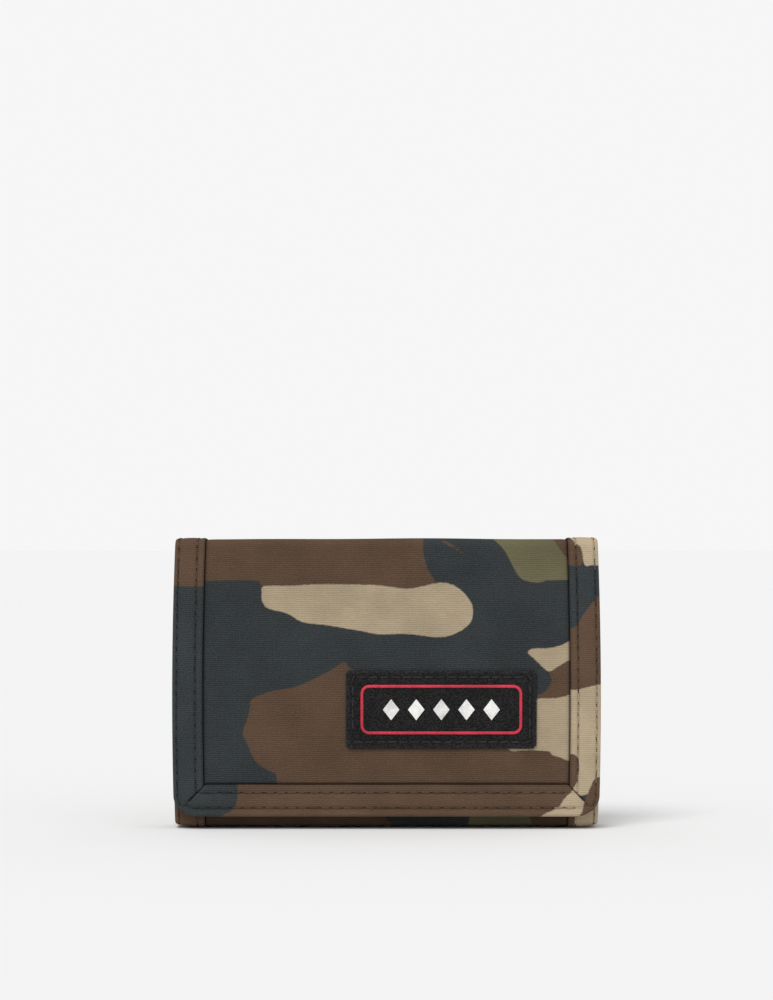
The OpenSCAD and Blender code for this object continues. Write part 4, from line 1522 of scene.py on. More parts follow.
@dataclass(frozen=True)
class Binding:
    """Cloth tape wrapped round an edge, with two rows of stitches that pull it down."""

    width: float = 9.0
    tape: float = 0.5
    round_edge: float = 0.95
    crown: float = 0.10
    rows: tuple[float, float] = (1.25, 6.9)
    dent: float = 0.22

    def section(self, thick: Array) -> tuple[Array, Array, Array]:
        """Half round the edge: inset, depth below the outer line, and unrolled inset.

        From the free edge on the outer side the section runs straight to the corner, turns
        a quarter circle e = r - r sin q, a = r - r cos q, crosses the edge, turns again and
        runs back to the free edge on the inner side.

        Args:
            thick: (k,) thickness of what the tape wraps.
        Returns:
            inset (m,), below (k, m) and unrolled inset (m,).
        """
        r = self.round_edge
        leg = self.width - np.concatenate([[0, 0.12, 0.35, 0.7], steps(1.1, self.width - r, 0.4)])
        q = np.linspace(0, math.pi / 2, 6)[1:]
        turn_e, turn_a = r - r * np.sin(q), r - r * np.cos(q)
        mid = np.linspace(0, 1, 5)[1:-1]
        inset = np.concatenate([leg, turn_e, np.zeros(3), turn_e[::-1], leg[::-1]])
        whole = thick[:, None] + 2 * self.tape
        near = np.broadcast_to(np.concatenate([np.zeros(len(leg)), turn_a]), (len(thick),
                               len(leg) + len(q)))
        side = r + (whole - 2 * r) * mid
        below = np.concatenate([near, side, (whole - near)[:, ::-1]], axis=1) - self.tape
        typical = float(np.median(whole))
        flat = np.concatenate([leg, r - r * q, -r * (math.pi / 2 - 1) - (typical - 2 * r) * mid])
        flat = np.concatenate([flat, -(r * (math.pi / 2 - 1) * 2 + typical - 2 * r) - flat[:len(leg)
                               + len(q)][::-1]])
        return inset, below, flat

    def relief(self, inset: Array, along: Array, both: Array) -> Array:
        """How far the tape stands proud of its plane: a crown, with dents at the stitches.

        crown * (1 - ((e - mid) / half)^2), less dent * exp(-((e - row) / 0.55)^2) times
        0.45 + 0.55 (0.5 + 0.5 cos(2 pi t / pitch)), plus slow waves and a raised free edge.

        Args:
            inset: (m,) insets.
            along: (k,) or (k, m) places along the edge.
            both: (m,) 1 on the tape's flat legs and 0 round the edge.
        Returns:
            (k, m) heights.
        """
        along = along[:, None] if along.ndim == 1 else along
        mid = sum(self.rows) / 2
        half = (self.rows[1] - self.rows[0]) / 2
        crown = self.crown * np.clip(1 - ((inset - mid) / half) ** 2, -0.6, 1)
        beat = 0.5 + 0.5 * np.cos(2 * math.pi * along / THREAD_PITCH)
        dents = sum(np.exp(-((inset - row) / 0.55) ** 2) for row in self.rows)
        slow = 0.05 * np.sin(along / 4.1 + inset * 0.5) + 0.04 * np.sin(along / 9.7)
        edge = 0.10 * np.exp(-((inset - self.width + 0.5) / 0.5) ** 2)
        return (crown + slow + edge - self.dent * dents * (0.45 + 0.55 * beat)) * both

    def worn(self, inset: Array, count: int) -> Array:
        """Wear of the tape: strongest where it turns round the edge."""
        value = np.exp(-(inset / 1.1) ** 2) * 0.75 + 0.12
        return np.broadcast_to(value, (count, len(inset)))

    def grime(self, inset: Array, away: Array) -> Array:
        """Painted shade of the tape: in its mitre, along its stitch rows and at its free edge.

        Args:
            inset: (m,) insets.
            away: (k, 1) points from the mitre, which is dark over about one of them.
        Returns:
            (k, m) values from 0 to 1.
        """
        # painted shade in the stitch dents, on the free edge's step and in the mitre's gap
        rows = sum(np.exp(-((inset - row) / 0.45) ** 2) for row in self.rows) * 0.16
        edge = 0.30 * np.exp(-((inset - self.width) / 0.3) ** 2)
        mitre = (1 - smooth((away - 0.3) / 1.2)) * smooth((inset - 3.2) / 1.5)
        return np.clip(rows + edge + mitre * 0.95, 0, 1)


@dataclass(frozen=True)
class Corner:
    """A panel's rounded corner where two bindings meet in a mitre.

    A line at inset e runs straight to a quarter circle of radius max(r - e, 0), and stops at
    the mitre, halfway round it. Places are worked out for the side binding; the level
    binding is its mirror image about the mitre.
    """

    radius: float
    edge: float
    up: int
    gap: float = 0.05
    count: int = 22

    def lines(self, inset: Array, reach: float) -> tuple[Array, Array]:
        """Places along the side binding, from the mitre to a height above the panel's edge.

        Args:
            inset: (m,) insets from the side edge.
            reach: distance from the panel's edge at which the lines end.
        Returns:
            (n, m) inset from the side edge and (n, m) distance from the panel's edge.
        """
        r = np.maximum(self.radius - inset, 0.0)
        arc = r * (math.pi / 4)
        straight = reach - inset - r
        total = arc + straight
        share = np.linspace(0, 1, self.count)[:, None]
        gap = self.gap * smooth(inset / 2.5)
        run = gap + (total - gap) * share
        turn = np.clip(run / np.maximum(arc, 1e-9), 0, 1)
        q = math.pi / 4 * (1 - turn)
        beyond = np.clip(run - arc, 0, None)
        side = inset + r - r * np.cos(q)
        level = inset + r - r * np.sin(q) + beyond
        return side, level


@dataclass
class BoundEdge:
    """Builds bindings and their stitching for one panel or fold."""

    strip: Strip
    binding: Binding
    corner: Optional[Corner] = None
    mitre_rows: float = 1.2
    mitre_fade: float = 2.5

    @staticmethod
    def mitre_dip(inset: Array) -> Array:
        """How far the tape dips at its mitre: more towards the panel than at the corner."""
        return 0.06 + 0.34 * smooth((inset - 2.6) / 2.0)

    def _surfaces(self, side: int) -> tuple[Array, Array, Array, Array]:
        """Outer and inner grids of a side binding, its cloth grid and its insets."""
        inset, below, flat = self.binding.section(self.strip.thick)
        legs = smooth((inset - self.binding.round_edge) / 0.5)
        along = self.strip.along
        sign = np.where(np.arange(len(inset)) < len(inset) / 2, -1.0, 1.0)
        tuck = self.binding.tape * smooth(1 - inset / self.binding.round_edge)
        x = np.broadcast_to(S.half_w - inset, below.shape)
        lift = below + sign * self.binding.relief(inset, along, legs)
        under = below - sign * self.binding.tape * legs
        under = np.clip(under, 0.0, self.strip.thick[:, None])
        grids = (self.strip.place(x, lift), self.strip.place(x - tuck, under),
                 cloth_grid(S.half_w - flat, along))
        if self.corner is not None:
            first = self.corner.up > 0
            row = 0 if first else -1
            face, start = self.strip.outer[row]
            reach = abs(start - self.corner.edge)
            place = self.corner.lines(inset, reach)
            place_in = self.corner.lines(inset + tuck, reach)
            t = along[row] + (self.corner.edge + self.corner.up * place[1] - start)
            proud = self.binding.relief(inset, t, legs)
            fade = smooth(np.arange(self.corner.count)[:, None] / self.mitre_fade)
            proud = proud - self.mitre_dip(inset) * (1 - fade) * legs
            below_c = np.broadcast_to(below[row], proud.shape) + sign * proud
            under_c = np.broadcast_to(under[row], proud.shape)
            ends = [np.stack([S.half_w - e, face - deep,
                              self.corner.edge + self.corner.up * level], axis=-1)
                    for (e, level), deep in ((place, below_c), (place_in, under_c))]
            ends.append(np.stack([S.half_w - place[0] - (flat - inset), t], axis=-1))
            if first:
                grids = tuple(np.concatenate([e[:-1], g]) for e, g in zip(ends, grids))
            else:
                grids = tuple(np.concatenate([g, e[::-1][1:]]) for e, g in zip(ends, grids))
        flip = np.array([side, 1.0, 1.0])
        outer, inner, cloth = grids
        return outer * flip, inner * flip, cloth * flip[:2], inset

    @staticmethod
    def _make(name: str, tape: Binding, grids: tuple[Array, Array, Array], inset: Array,
              away: Array, rows: Array, blotches: Sequence[Blotch],
              fade: tuple[float, float], thread: Mesher) -> bpy.types.Object:
        """Prints a binding, gives it painted shade, sews it and writes its mesh.

        Args:
            name: the piece's name.
            tape: the binding's measures.
            grids: its outer and inner faces and their places on the cloth.
            inset: (m,) insets of the grids' columns.
            away: (k, 1) points from the mitre.
            rows: the grids' rows that the stitches run along.
            blotches: the print's list for it.
            fade: where the random print takes over.
            thread: gets the stitches.
        Returns:
            The binding.
        """
        outer, inner, cloth = grids
        dyes = PRINT.fields(cloth, blotches, fade)
        # the binding's print, its wear and its painted shade mask
        fields = dict(dyes, worn=tape.worn(inset, len(outer)), grime=tape.grime(inset, away))
        mesher = Mesher()
        mesher.slab(outer, inner, cloth, fields, rims=(0, 0, 1, 1))
        half = len(inset) // 2
        for wanted in tape.rows:
            near = float(np.interp(-wanted, -inset[:half], np.arange(half)))
            for col in (near, len(inset) - 1 - near):
                STITCH.sew(thread, outer, inner, rows, np.full(len(rows), col), dyes)
        return mesher.make(name)

    def side(self, name: str, side: int, blotches: Sequence[Blotch], fade: tuple[float, float],
             thread: Mesher) -> bpy.types.Object:
        """Makes one side binding and sews it.

        Args:
            name: the piece's name.
            side: -1 for left and 1 for right.
            blotches: the print's list for it.
            fade: where the random print takes over.
            thread: gets the stitches.
        Returns:
            The binding.
        """
        outer, inner, cloth, inset = self._surfaces(side)
        count = np.arange(len(outer))[:, None]
        away = np.full((len(outer), 1), FAR)
        if self.corner is not None:
            away = (count if self.corner.up > 0 else count[::-1]).astype(float)
        rows = np.arange(len(outer), dtype=float)
        first = self.mitre_rows if self.corner is not None and self.corner.up > 0 else 0.0
        last = len(outer) - 1 - (self.mitre_rows if self.corner is not None
                                 and self.corner.up < 0 else 0.0)
        rows = rows[(rows >= first) & (rows <= last)]
        return self._make(name, self.binding, (outer, inner, cloth), inset, away, rows,
                          blotches, fade, thread)

    def level(self, name: str, blotches: Sequence[Blotch], fade: tuple[float, float],
              thread: Mesher, width: float, rows_at: tuple[float, float]) -> bpy.types.Object:
        """Makes the binding along the panel's free edge, between its two mitres.

        Args:
            name: the piece's name.
            blotches: the print's list for it.
            fade: where the random print takes over.
            thread: gets the stitches.
            width: the tape's visible width.
            rows_at: insets of its stitch rows.
        Returns:
            The binding.
        """
        tape = Binding(width=width, rows=rows_at)
        row = 0 if self.corner.up > 0 else -1
        inset, below, flat = tape.section(np.array([self.strip.thick[row]]))
        below = below[0]
        legs = smooth((inset - tape.round_edge) / 0.5)
        sign = np.where(np.arange(len(inset)) < len(inset) / 2, -1.0, 1.0)
        tuck = tape.tape * smooth(1 - inset / tape.round_edge)
        reach = self.binding.width + 1.5
        middle = steps(-(S.half_w - reach), S.half_w - reach, 0.85)[:, None]
        face = self.strip.outer[row, 0]
        thick = self.strip.thick[row]

        def across(e: Array) -> tuple[Array, Array]:
            """Places (x, distance from the panel's edge) of lines at insets, mitre to mitre."""
            side, level = self.corner.lines(e, reach)
            left = np.stack([-(S.half_w - level), side], axis=-1)
            right = np.stack([S.half_w - level, side], axis=-1)[::-1]
            mid = np.stack(np.broadcast_arrays(middle, e[None, :]), axis=-1)
            whole = np.concatenate([left[:-1], mid, right[1:]])
            return whole[..., 0], whole[..., 1]

        x, up = across(inset)
        fade_end = np.minimum(np.arange(len(x)), np.arange(len(x))[::-1])[:, None]
        dip = self.mitre_dip(inset) * (1 - smooth(fade_end / self.mitre_fade))
        proud = tape.relief(inset, x, legs) - dip * legs
        deep = below + sign * proud
        outer = np.stack([x, face - deep, self.corner.edge + self.corner.up * up], axis=-1)
        x_in, up_in = across(inset + tuck)
        under = np.clip(below - sign * tape.tape * legs, 0.0, thick)
        inner = np.stack([x_in, np.broadcast_to(face - under, x_in.shape),
                          self.corner.edge + self.corner.up * up_in], axis=-1)
        base = self.strip.along[row] + (self.corner.edge - self.strip.outer[row, 1])
        cloth = np.stack([x, base + self.corner.up * (up + (flat - inset))], axis=-1)
        rows = np.arange(1, len(x) - 1, dtype=float)
        return self._make(name, tape, (outer, inner, cloth), inset, fade_end.astype(float),
                          rows, blotches, fade, thread)


# ---------------------------------------------------------------- shared shapes

def framed(mesher: Mesher, front: Array, back: Array, cloth: Array, fields: dict[str, Array],
           rows: tuple[int, int], cols: tuple[int, int], outer_rim: float) -> None:
    """Adds a sheet with a rectangular opening, as eight slabs that share their edges.

    Args:
        mesher: gets the sheet.
        front: one face's grid.
        back: the other face's grid.
        cloth: place on the cloth.
        fields: stored values.
        rows: first and last row of the opening.
        cols: first and last column of the opening.
        outer_rim: bulge of the rim round the outside; the opening's rim is round.
    """
    row_ends = [0, rows[0], rows[1], front.shape[0] - 1]
    col_ends = [0, cols[0], cols[1], front.shape[1] - 1]
    for i in range(3):
        for j in range(3):
            if i == 1 and j == 1:
                continue
            cut = (slice(row_ends[i], row_ends[i + 1] + 1), slice(col_ends[j], col_ends[j + 1] + 1))
            rims = (outer_rim if i == 0 else (1.0 if (i, j) == (2, 1) else -1),
                    outer_rim if i == 2 else (1.0 if (i, j) == (0, 1) else -1),
                    outer_rim if j == 0 else (1.0 if (i, j) == (1, 2) else -1),
                    outer_rim if j == 2 else (1.0 if (i, j) == (1, 0) else -1))
            mesher.slab(front[cut], back[cut], cloth[cut],
                        {k: v[cut] for k, v in fields.items()}, rims=rims)


def flat_grid(x: Array, z: Array, depth: float) -> Array:
    """A grid of places at one depth: rows go up and columns go across."""
    zz, xx = np.meshgrid(z, x, indexing="ij")
    return np.stack([xx, np.full_like(xx, depth), zz], axis=-1)


def broken_steps(stops: Sequence[float], pitch: float) -> tuple[Array, list[int]]:
    """Evenly spaced values between stops, and where the stops are among them."""
    parts, index = [np.array([stops[0]])], [0]
    for low, high in zip(stops[:-1], stops[1:]):
        part = steps(low, high, pitch)[1:]
        parts.append(part)
        index.append(index[-1] + len(part))
    return np.concatenate(parts), index


def round_corners(grid: Array, half: tuple[float, float], middle: tuple[float, float],
                  radius: float) -> Array:
    """Rounds the four corners of a flat rectangular grid.

    In each corner's square, (u, v) in radii becomes (u sqrt(1 - v^2/2), v sqrt(1 - u^2/2)),
    which maps the square onto a quarter disc.
    """
    out = grid.copy()
    rel_x, rel_z = grid[..., 0] - middle[0], grid[..., 2] - middle[1]
    u = np.clip((np.abs(rel_x) - (half[0] - radius)) / radius, 0, 1)
    v = np.clip((np.abs(rel_z) - (half[1] - radius)) / radius, 0, 1)
    du = radius * (u * np.sqrt(1 - v * v / 2) - u)
    dv = radius * (v * np.sqrt(1 - u * u / 2) - v)
    out[..., 0] += np.sign(rel_x) * du
    out[..., 2] += np.sign(rel_z) * dv
    return out


def ring_path(half: tuple[float, float], middle: tuple[float, float], radius: float,
              pitch: float) -> Array:
    """A closed rounded rectangle of (across, height) points, without repeating the first."""
    hx, hz = half
    corners = [(-hx, 0.0), (-hx, -hz), (hx, -hz), (hx, hz), (-hx, hz), (-hx, 0.0)]
    runs = [max(2, int(hz / pitch)), max(2, int(2 * hx / pitch)), max(2, int(2 * hz / pitch)),
            max(2, int(2 * hx / pitch)), max(2, int(hz / pitch))]
    line = bent_line(corners, [radius] * 4, runs, 5)[:-1]
    return line + np.array(middle)


def sweep(path: Array, radius: float, sides: int, guide: Array) -> Array:
    """A round cord along a path: rings of radius r in the plane across the path.

    Ring point = path + r (n cos q + b sin q), with n across both the path and the guide, and
    b across the path and n. Both ends close to a point.
    """
    ahead = unit(np.gradient(path, axis=0))
    n = unit(np.cross(ahead, guide))
    b = np.cross(ahead, n)
    q = np.linspace(0, 2 * math.pi, sides + 1)[None, :, None]
    size = np.full((len(path), 1, 1), radius)
    size[[0, -1]] = 0.0
    ring = path[:, None, :] + size * (n[:, None, :] * np.cos(q) + b[:, None, :] * np.sin(q))
    ring[:, -1] = ring[:, 0]
    return ring


def line_indices(values: Array, stops: Array) -> Array:
    """Fractional indices at which a monotonic array takes given values."""
    order = np.argsort(values)
    return np.interp(stops, values[order], order.astype(float))


def rectangle_indices(x: Array, z: Array, box: tuple[float, float, float, float],
                      pitch: float = 0.8) -> tuple[Array, Array]:
    """Fractional rows and columns of a closed rectangle drawn on a flat grid."""
    x0, x1, z0, z1 = box
    across, up = steps(x0, x1, pitch), steps(z0, z1, pitch)
    xs = np.concatenate([across, np.full(len(up), x1), across[::-1], np.full(len(up), x0)])
    zs = np.concatenate([np.full(len(across), z0), up, np.full(len(across), z1), up[::-1]])
    return line_indices(z, zs), line_indices(x, xs)


@dataclass
class Maker:
    """What every sub-assembly shares: the wardrobe and a log of its pieces."""

    wardrobe: Wardrobe

    def finish(self, piece: bpy.types.Object, finish: Finish, *nodes: str,
               body: Optional[str] = None) -> bpy.types.Object:
        """Dresses a piece, lets it stand for nodes of the frame and reports it.

        Args:
            piece: the piece.
            finish: its finish.
            nodes: the nodes of the frame that it replaces.
            body: the body that it rides on; none for a piece that crosses a fold.
        Returns:
            The piece.
        """
        self.wardrobe.dress(piece, finish)
        if nodes:
            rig.replaces(piece, *nodes)
        if body is not None:
            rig.ride(piece, body)
        log.info("%s: %d faces, %s", piece.name, len(piece.data.polygons), finish.name)
        return piece


class Fold(Enum):
    """The folds that cloth crosses, with the bodies on both sides."""

    TOP_BACK = ("top_spine", "back")
    TOP_FLAP = ("top_spine", "flap")
    BASE = ("back", "lower_panel")

    def corners(self) -> tuple[tuple[float, float], tuple[float, float], int]:
        """The fold's outer corner, its inner corner, and the side that the first body is on."""
        under = S.spine_top - S.spine_t
        if self is Fold.TOP_BACK:
            return (0.0, S.spine_top), (S.divider_face, under), 1
        if self is Fold.TOP_FLAP:
            return (S.flap_face, S.spine_top), (S.flap_inner, under), -1
        return (S.lower_face, FOLDS.bend_low), (S.lower_inner, FOLDS.base_in), 1

    def cross(self, piece: bpy.types.Object) -> bpy.types.Object:
        """Lets a piece bend from one body to the other.

        The bend is centred on the line through both corners of the fold, and its start and
        end lie either side of that line.
        """
        outer, inner, side = self.corners()
        line = unit(np.array(inner) - np.array(outer))
        across = side * np.array([line[1], -line[0]])
        ends = []
        start = FOLDS.base_bend_start if self is Fold.BASE else FOLDS.bend_start
        for out in (start, FOLDS.bend_end):
            depth, height = np.array(outer) + across * out
            ends.append((0.0, float(S.back_y - depth) * MM, float(height) * MM))
        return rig.blend(piece, self.value[0], self.value[1], start=ends[0], end=ends[1])


# ---------------------------------------------------------------- shell and linings

@dataclass
class Shell(Maker):
    """The printed canvas, its linings and the boards between them."""

    canvas_t: float = 0.9
    lining_t: float = 0.4
    short: float = 0.75
    slit_h: float = 8.0
    pucker: float = 0.07
    groove: float = 0.22
    hem_gap: float = 0.6
    lining_gap: float = 0.8
    board_trim: float = 0.3
    board_clear: float = 0.08

    @staticmethod
    def _crease(out: Array) -> Array:
        """Painted shade and depth of a seam: whole under the binding, gone 1.2 mm outside it."""
        return 1 - smooth((out - 0.25) / 0.95)

    @staticmethod
    def _across(edge: float, pitch: float = 0.85) -> Array:
        """Places across a strip, closer together beside the side bindings."""
        near = S.hem_inner + np.array([-1.0, -0.75, -0.5, -0.25, 0.0, 0.3])
        middle = steps(-near[0], near[0], pitch)
        outer = steps(near[-1], edge, pitch)
        side = np.concatenate([near[1:-1], outer])
        return np.concatenate([-side[::-1], middle, side])

    def _canvas(self, name: str, strip: Strip, blotches: Sequence[Blotch],
                fade: tuple[float, float], x: Array,
                opening: Optional[tuple[int, int, int, int]] = None,
                hem_line: Optional[tuple[float, int]] = None,
                corner: float = 0.0) -> bpy.types.Object:
        """One strip of canvas, with faint pulls across it, its print and painted shade at its seams."""
        along = strip.along
        # painted shade along the side bindings' inner edges, where the tape's step shades the canvas
        grime = np.broadcast_to(self._crease(S.hem_inner - np.abs(x))[None, :],
                                (len(along), len(x)))
        if hem_line is not None:
            level = self._crease((along - hem_line[0]) * hem_line[1])
            # on the lower panel, a painted shadow of the flap's overhang over its bottom few millimetres
            if hem_line[1] < 0:
                level = np.maximum(level, 0.4 * (1 - smooth((along - 2.0) / 6.0)))
            grime = np.maximum(grime, level[:, None])
        pull = self.pucker * (np.sin(x / 3.1)[None, :] * np.sin(along / 23)[:, None]
                              * np.exp(-((S.hem_inner - np.abs(x)) / 9)[None, :] ** 2)
                              + 0.8 * np.sin(x / 14 + along[:, None] / 9))
        # the same painted shade mask also sets how deep the seam's groove sinks
        front = strip.place(x, pull * 0.6 + self.groove * grime)
        back = strip.place(x, np.full_like(pull, self.canvas_t))
        cloth = cloth_grid(x, along)
        fields = PRINT.fields(cloth, blotches, fade)
        fields["grime"] = grime
        near = np.exp(-((S.hem_inner - np.abs(x)) / 1.5) ** 2) * 0.15
        fields["worn"] = np.broadcast_to(near[None, :] + 0.05, pull.shape)
        mesher = Mesher()
        if corner:
            front, back = self._cut(strip, front, corner), self._cut(strip, back, corner)
        if opening is None:
            mesher.slab(front, back, cloth, fields, rims=(0, 0, 0, 0))
        else:
            r0, r1, c0, c1 = opening
            framed(mesher, front, back, cloth, fields, (r0, r1), (c0, c1), 0.0)
        return mesher.make(name)

    @staticmethod
    def _cut(strip: Strip, grid: Array, radius: float) -> Array:
        """Rounds a strip's two free corners, at the end that lies on a panel."""
        first, last = strip.outer[0], strip.outer[-1]
        free = first if abs(first[0] - S.flap_face) < 1e-6 else last
        up = 1 if free is first else -1
        reach = 100.0
        half = (float(np.abs(grid[..., 0]).max()), reach)
        return round_corners(grid, half, (0.0, float(free[1]) + up * reach), radius)

    def _lining(self, name: str, strip: Strip, half: float,
                corner: float = 0.0) -> bpy.types.Object:
        """One strip of lining, along the inner line."""
        x = steps(-half, half, 2.4)
        thick = np.broadcast_to(strip.thick[:, None], (len(strip.outer), len(x)))
        ripple = 0.05 * np.sin(x / 6.0)[None, :] * np.sin(strip.along / 7.0)[:, None]
        inner = strip.place(x, thick + ripple - 0.03)
        outer = strip.place(x, thick - self.lining_t)
        cloth = cloth_grid(x, strip.along)
        if corner:
            inner, outer = self._cut(strip, inner, corner), self._cut(strip, outer, corner)
        mesher = Mesher()
        mesher.slab(inner, outer, cloth, {"worn": np.full(thick.shape, 0.08)},
                    rims=(0, 0, 0, 0))
        return mesher.make(name)

    def _board(self, name: str, node: str, radius: float) -> bpy.types.Object:
        """A board between the canvas and the lining, with its corners cut round."""
        low, high = span(node)
        trim = self.board_trim
        half = ((high[0] - low[0]) / 2 - trim, (high[2] - low[2]) / 2 - trim)
        middle = (0.0, (high[2] + low[2]) / 2)
        x = steps(-half[0], half[0], 2.0)
        z = steps(middle[1] - half[1], middle[1] + half[1], 2.0)
        far, near = depths(node)
        front = round_corners(flat_grid(x, z, near - self.board_clear), half, middle, radius)
        back = round_corners(flat_grid(x, z, far + self.board_clear), half, middle, radius)
        mesher = Mesher()
        mesher.slab(front, back, rims=(1, 1, 1, 1))
        return mesher.make(name)

    def build(self) -> dict[str, bpy.types.Object]:
        """Makes the three canvas strips, the three linings and the boards."""
        edge = S.half_w - self.short
        x = self._across(edge)
        made = {}
        beside = np.array([-0.3, 0.0, 0.25, 0.5, 0.75, 1.0])
        flap = FOLDS.flap(S.flap_lift + self.hem_gap).refined(S.flap_hem_top + beside)
        made["flap"] = self._canvas("flap_canvas", flap, FRONT_PRINT, FLAP_FADE, x,
                                    hem_line=(S.flap_hem_top, 1), corner=FLAP_CORNER)
        lower = local_strip(FOLDS.lower(S.lower_top - self.hem_gap))
        lower = lower.refined(S.lower_hem_low - beside)
        made["lower"] = self._canvas("lower_canvas", lower, LOWER_PRINT, LOWER_FADE, x,
                                     hem_line=(S.lower_hem_low, -1), corner=LOWER_CORNER)
        back = FOLDS.back(S.lining_face)
        slit_x = float(span("zip_stop_right")[1][0])
        slit_z = float((span("zip_tape_upper")[0][2] + span("zip_tape_lower")[1][2]) / 2)
        wide = self._across(edge)
        x_back = np.unique(np.concatenate([wide[np.abs(wide) > slit_x + 0.5],
                                           steps(-slit_x, slit_x, 0.9)]))
        at = [int(np.argmin(np.abs(x_back - v))) for v in (-slit_x, slit_x)]
        rows = []
        for height in (slit_z + self.slit_h / 2, slit_z - self.slit_h / 2):
            leg = np.abs(back.outer[:, 0]) < 1e-6
            row = int(np.argmin(np.where(leg, np.abs(back.outer[:, 1] - height), FAR)))
            back.outer[row, 1] = height
            back.inner[row, 1] = height
            rows.append(row)
        opening = (rows[0], rows[1], at[0], at[1])
        made["back"] = self._canvas("back_canvas", back, (), ALL_RANDOM, x_back, opening)
        made["back_seam"] = self._slit_seam(back, x_back, slit_x, slit_z)
        self.finish(made["flap"], CANVAS, "flap_shell", "top_spine_shell")
        self.finish(made["lower"], CANVAS, "lower_shell", "bottom_spine_shell")
        self.finish(made["back"], CANVAS, "back_shell", "top_spine_shell", "bottom_spine_shell")
        self.finish(made["back_seam"], SEWING)
        short = edge - 0.3
        linings = (("flap_lining_cloth", FOLDS.flap(S.flap_lift + self.lining_gap), Fold.TOP_FLAP,
                    FLAP_CORNER, ("flap_lining", "top_spine_lining")),
                   ("back_lining_cloth", FOLDS.back(S.lining_face), Fold.TOP_BACK, 0.0,
                    ("back_lining", "top_spine_lining", "bottom_spine_lining")),
                   ("lower_lining_cloth", FOLDS.lower(S.lower_top - self.lining_gap), Fold.BASE,
                    LOWER_CORNER, ("lower_lining", "bottom_spine_lining")))
        for name, strip, fold, corner, nodes in linings:
            cloth = self._lining(name, strip, short, corner)
            made[name] = self.finish(cloth, LINING, *nodes)
            fold.cross(made[name])
            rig.sheet(made[name], flat=(2 * short * MM, float(lengths(strip.inner)[-1]) * MM),
                     held="stretched", rests_on=[nodes[0].split("_")[0] + "_board"])
        for name, node, body, radius in (("flap_stiffener", "flap_board", "flap", 7.0),
                                         ("back_stiffener", "back_board", "back", 3.0),
                                         ("lower_stiffener", "lower_board", "lower_panel", 4.6)):
            made[name] = self.finish(self._board(name, node, radius), BOARD, node, body=body)
        return made

    def _slit_seam(self, strip: Strip, x: Array, half: float, middle: float) -> bpy.types.Object:
        """Two rows of stitches round the pocket's slit."""
        face = strip.place(x, np.zeros((len(strip.outer), len(x))))
        under = strip.place(x, np.full((len(strip.outer), len(x)), self.canvas_t))
        leg = np.flatnonzero(np.abs(strip.outer[:, 0]) < 1e-6)
        cloth = cloth_grid(x, strip.along)
        dyes = PRINT.fields(cloth, (), ALL_RANDOM)
        mesher = Mesher()
        for out in (1.6, 12.5):
            box = (-half - min(out, 4.0), half + min(out, 4.0), middle - self.slit_h / 2
                   - out * 0.66, middle + self.slit_h / 2 + out * 0.66)
            rows, cols = rectangle_indices(x, strip.outer[leg, 1], box)
            STITCH.sew(mesher, face, under, rows + leg[0], cols, dyes)
        return mesher.make("zip_opening_seam")


# ---------------------------------------------------------------- bindings

@dataclass
class Bindings(Maker):
    """The cloth tapes round every edge, with their stitching."""

    rise: float = 10.5

    def build(self) -> dict[str, bpy.types.Object]:
        """Makes the side and level bindings of the flap, back and lower panel."""
        made = {}
        shape = Binding(width=S.half_w - S.hem_inner, tape=S.hem_t)
        flap_corner = Corner(FLAP_CORNER, S.flap_lift, 1)
        lower_corner = Corner(LOWER_CORNER, S.lower_top, -1)
        flap = BoundEdge(FOLDS.flap(S.flap_lift + self.rise), shape, flap_corner)
        back = BoundEdge(FOLDS.back(S.divider_face), shape)
        lower_strip = local_strip(FOLDS.lower(S.lower_top - self.rise))
        lower = BoundEdge(lower_strip, shape, lower_corner)
        runs = (("flap", flap, Fold.TOP_FLAP, SIDE_PRINT, FLAP_FADE),
                ("back", back, Fold.TOP_BACK, NO_PRINT, ALL_RANDOM),
                ("lower", lower, Fold.BASE, LOWER_SIDE_PRINT, LOWER_SIDE_FADE))
        spine = {"flap": ("top",), "back": ("top", "bottom"), "lower": ("bottom",)}
        for key, edge, fold, prints, fade in runs:
            thread = Mesher()
            for side, word in ((-1, "left"), (1, "right")):
                name = f"{key}_binding_{word}"
                piece = edge.side(name, side, prints[side], fade, thread)
                nodes = [f"{key}_hem_{word}"] + [f"{s}_spine_hem_{word}" for s in spine[key]]
                made[name] = fold.cross(self.finish(piece, BINDING, *nodes))
            seam = thread.make(f"{key}_side_seams")
            made[f"{key}_side_seams"] = fold.cross(self.finish(seam, SEWING))
        for key, edge, blotches, fade, body, node, width, rows in (
                ("flap", flap, EDGE_PRINT, FLAP_FADE, "flap", "flap_hem_edge",
                 S.flap_hem_top - S.flap_lift, (2.7, 7.3)),
                ("lower", lower, (), ALL_RANDOM, "lower_panel", "lower_hem_edge",
                 S.lower_top - S.lower_hem_low, (1.6, 7.4))):
            thread = Mesher()
            name = f"{key}_binding_edge"
            piece = edge.level(name, blotches, fade, thread, width, rows)
            made[name] = self.finish(piece, BINDING, node, body=body)
            seam = thread.make(f"{key}_edge_seams")
            made[f"{key}_edge_seams"] = self.finish(seam, SEWING, body=body)
        return made


# ---------------------------------------------------------------- pockets

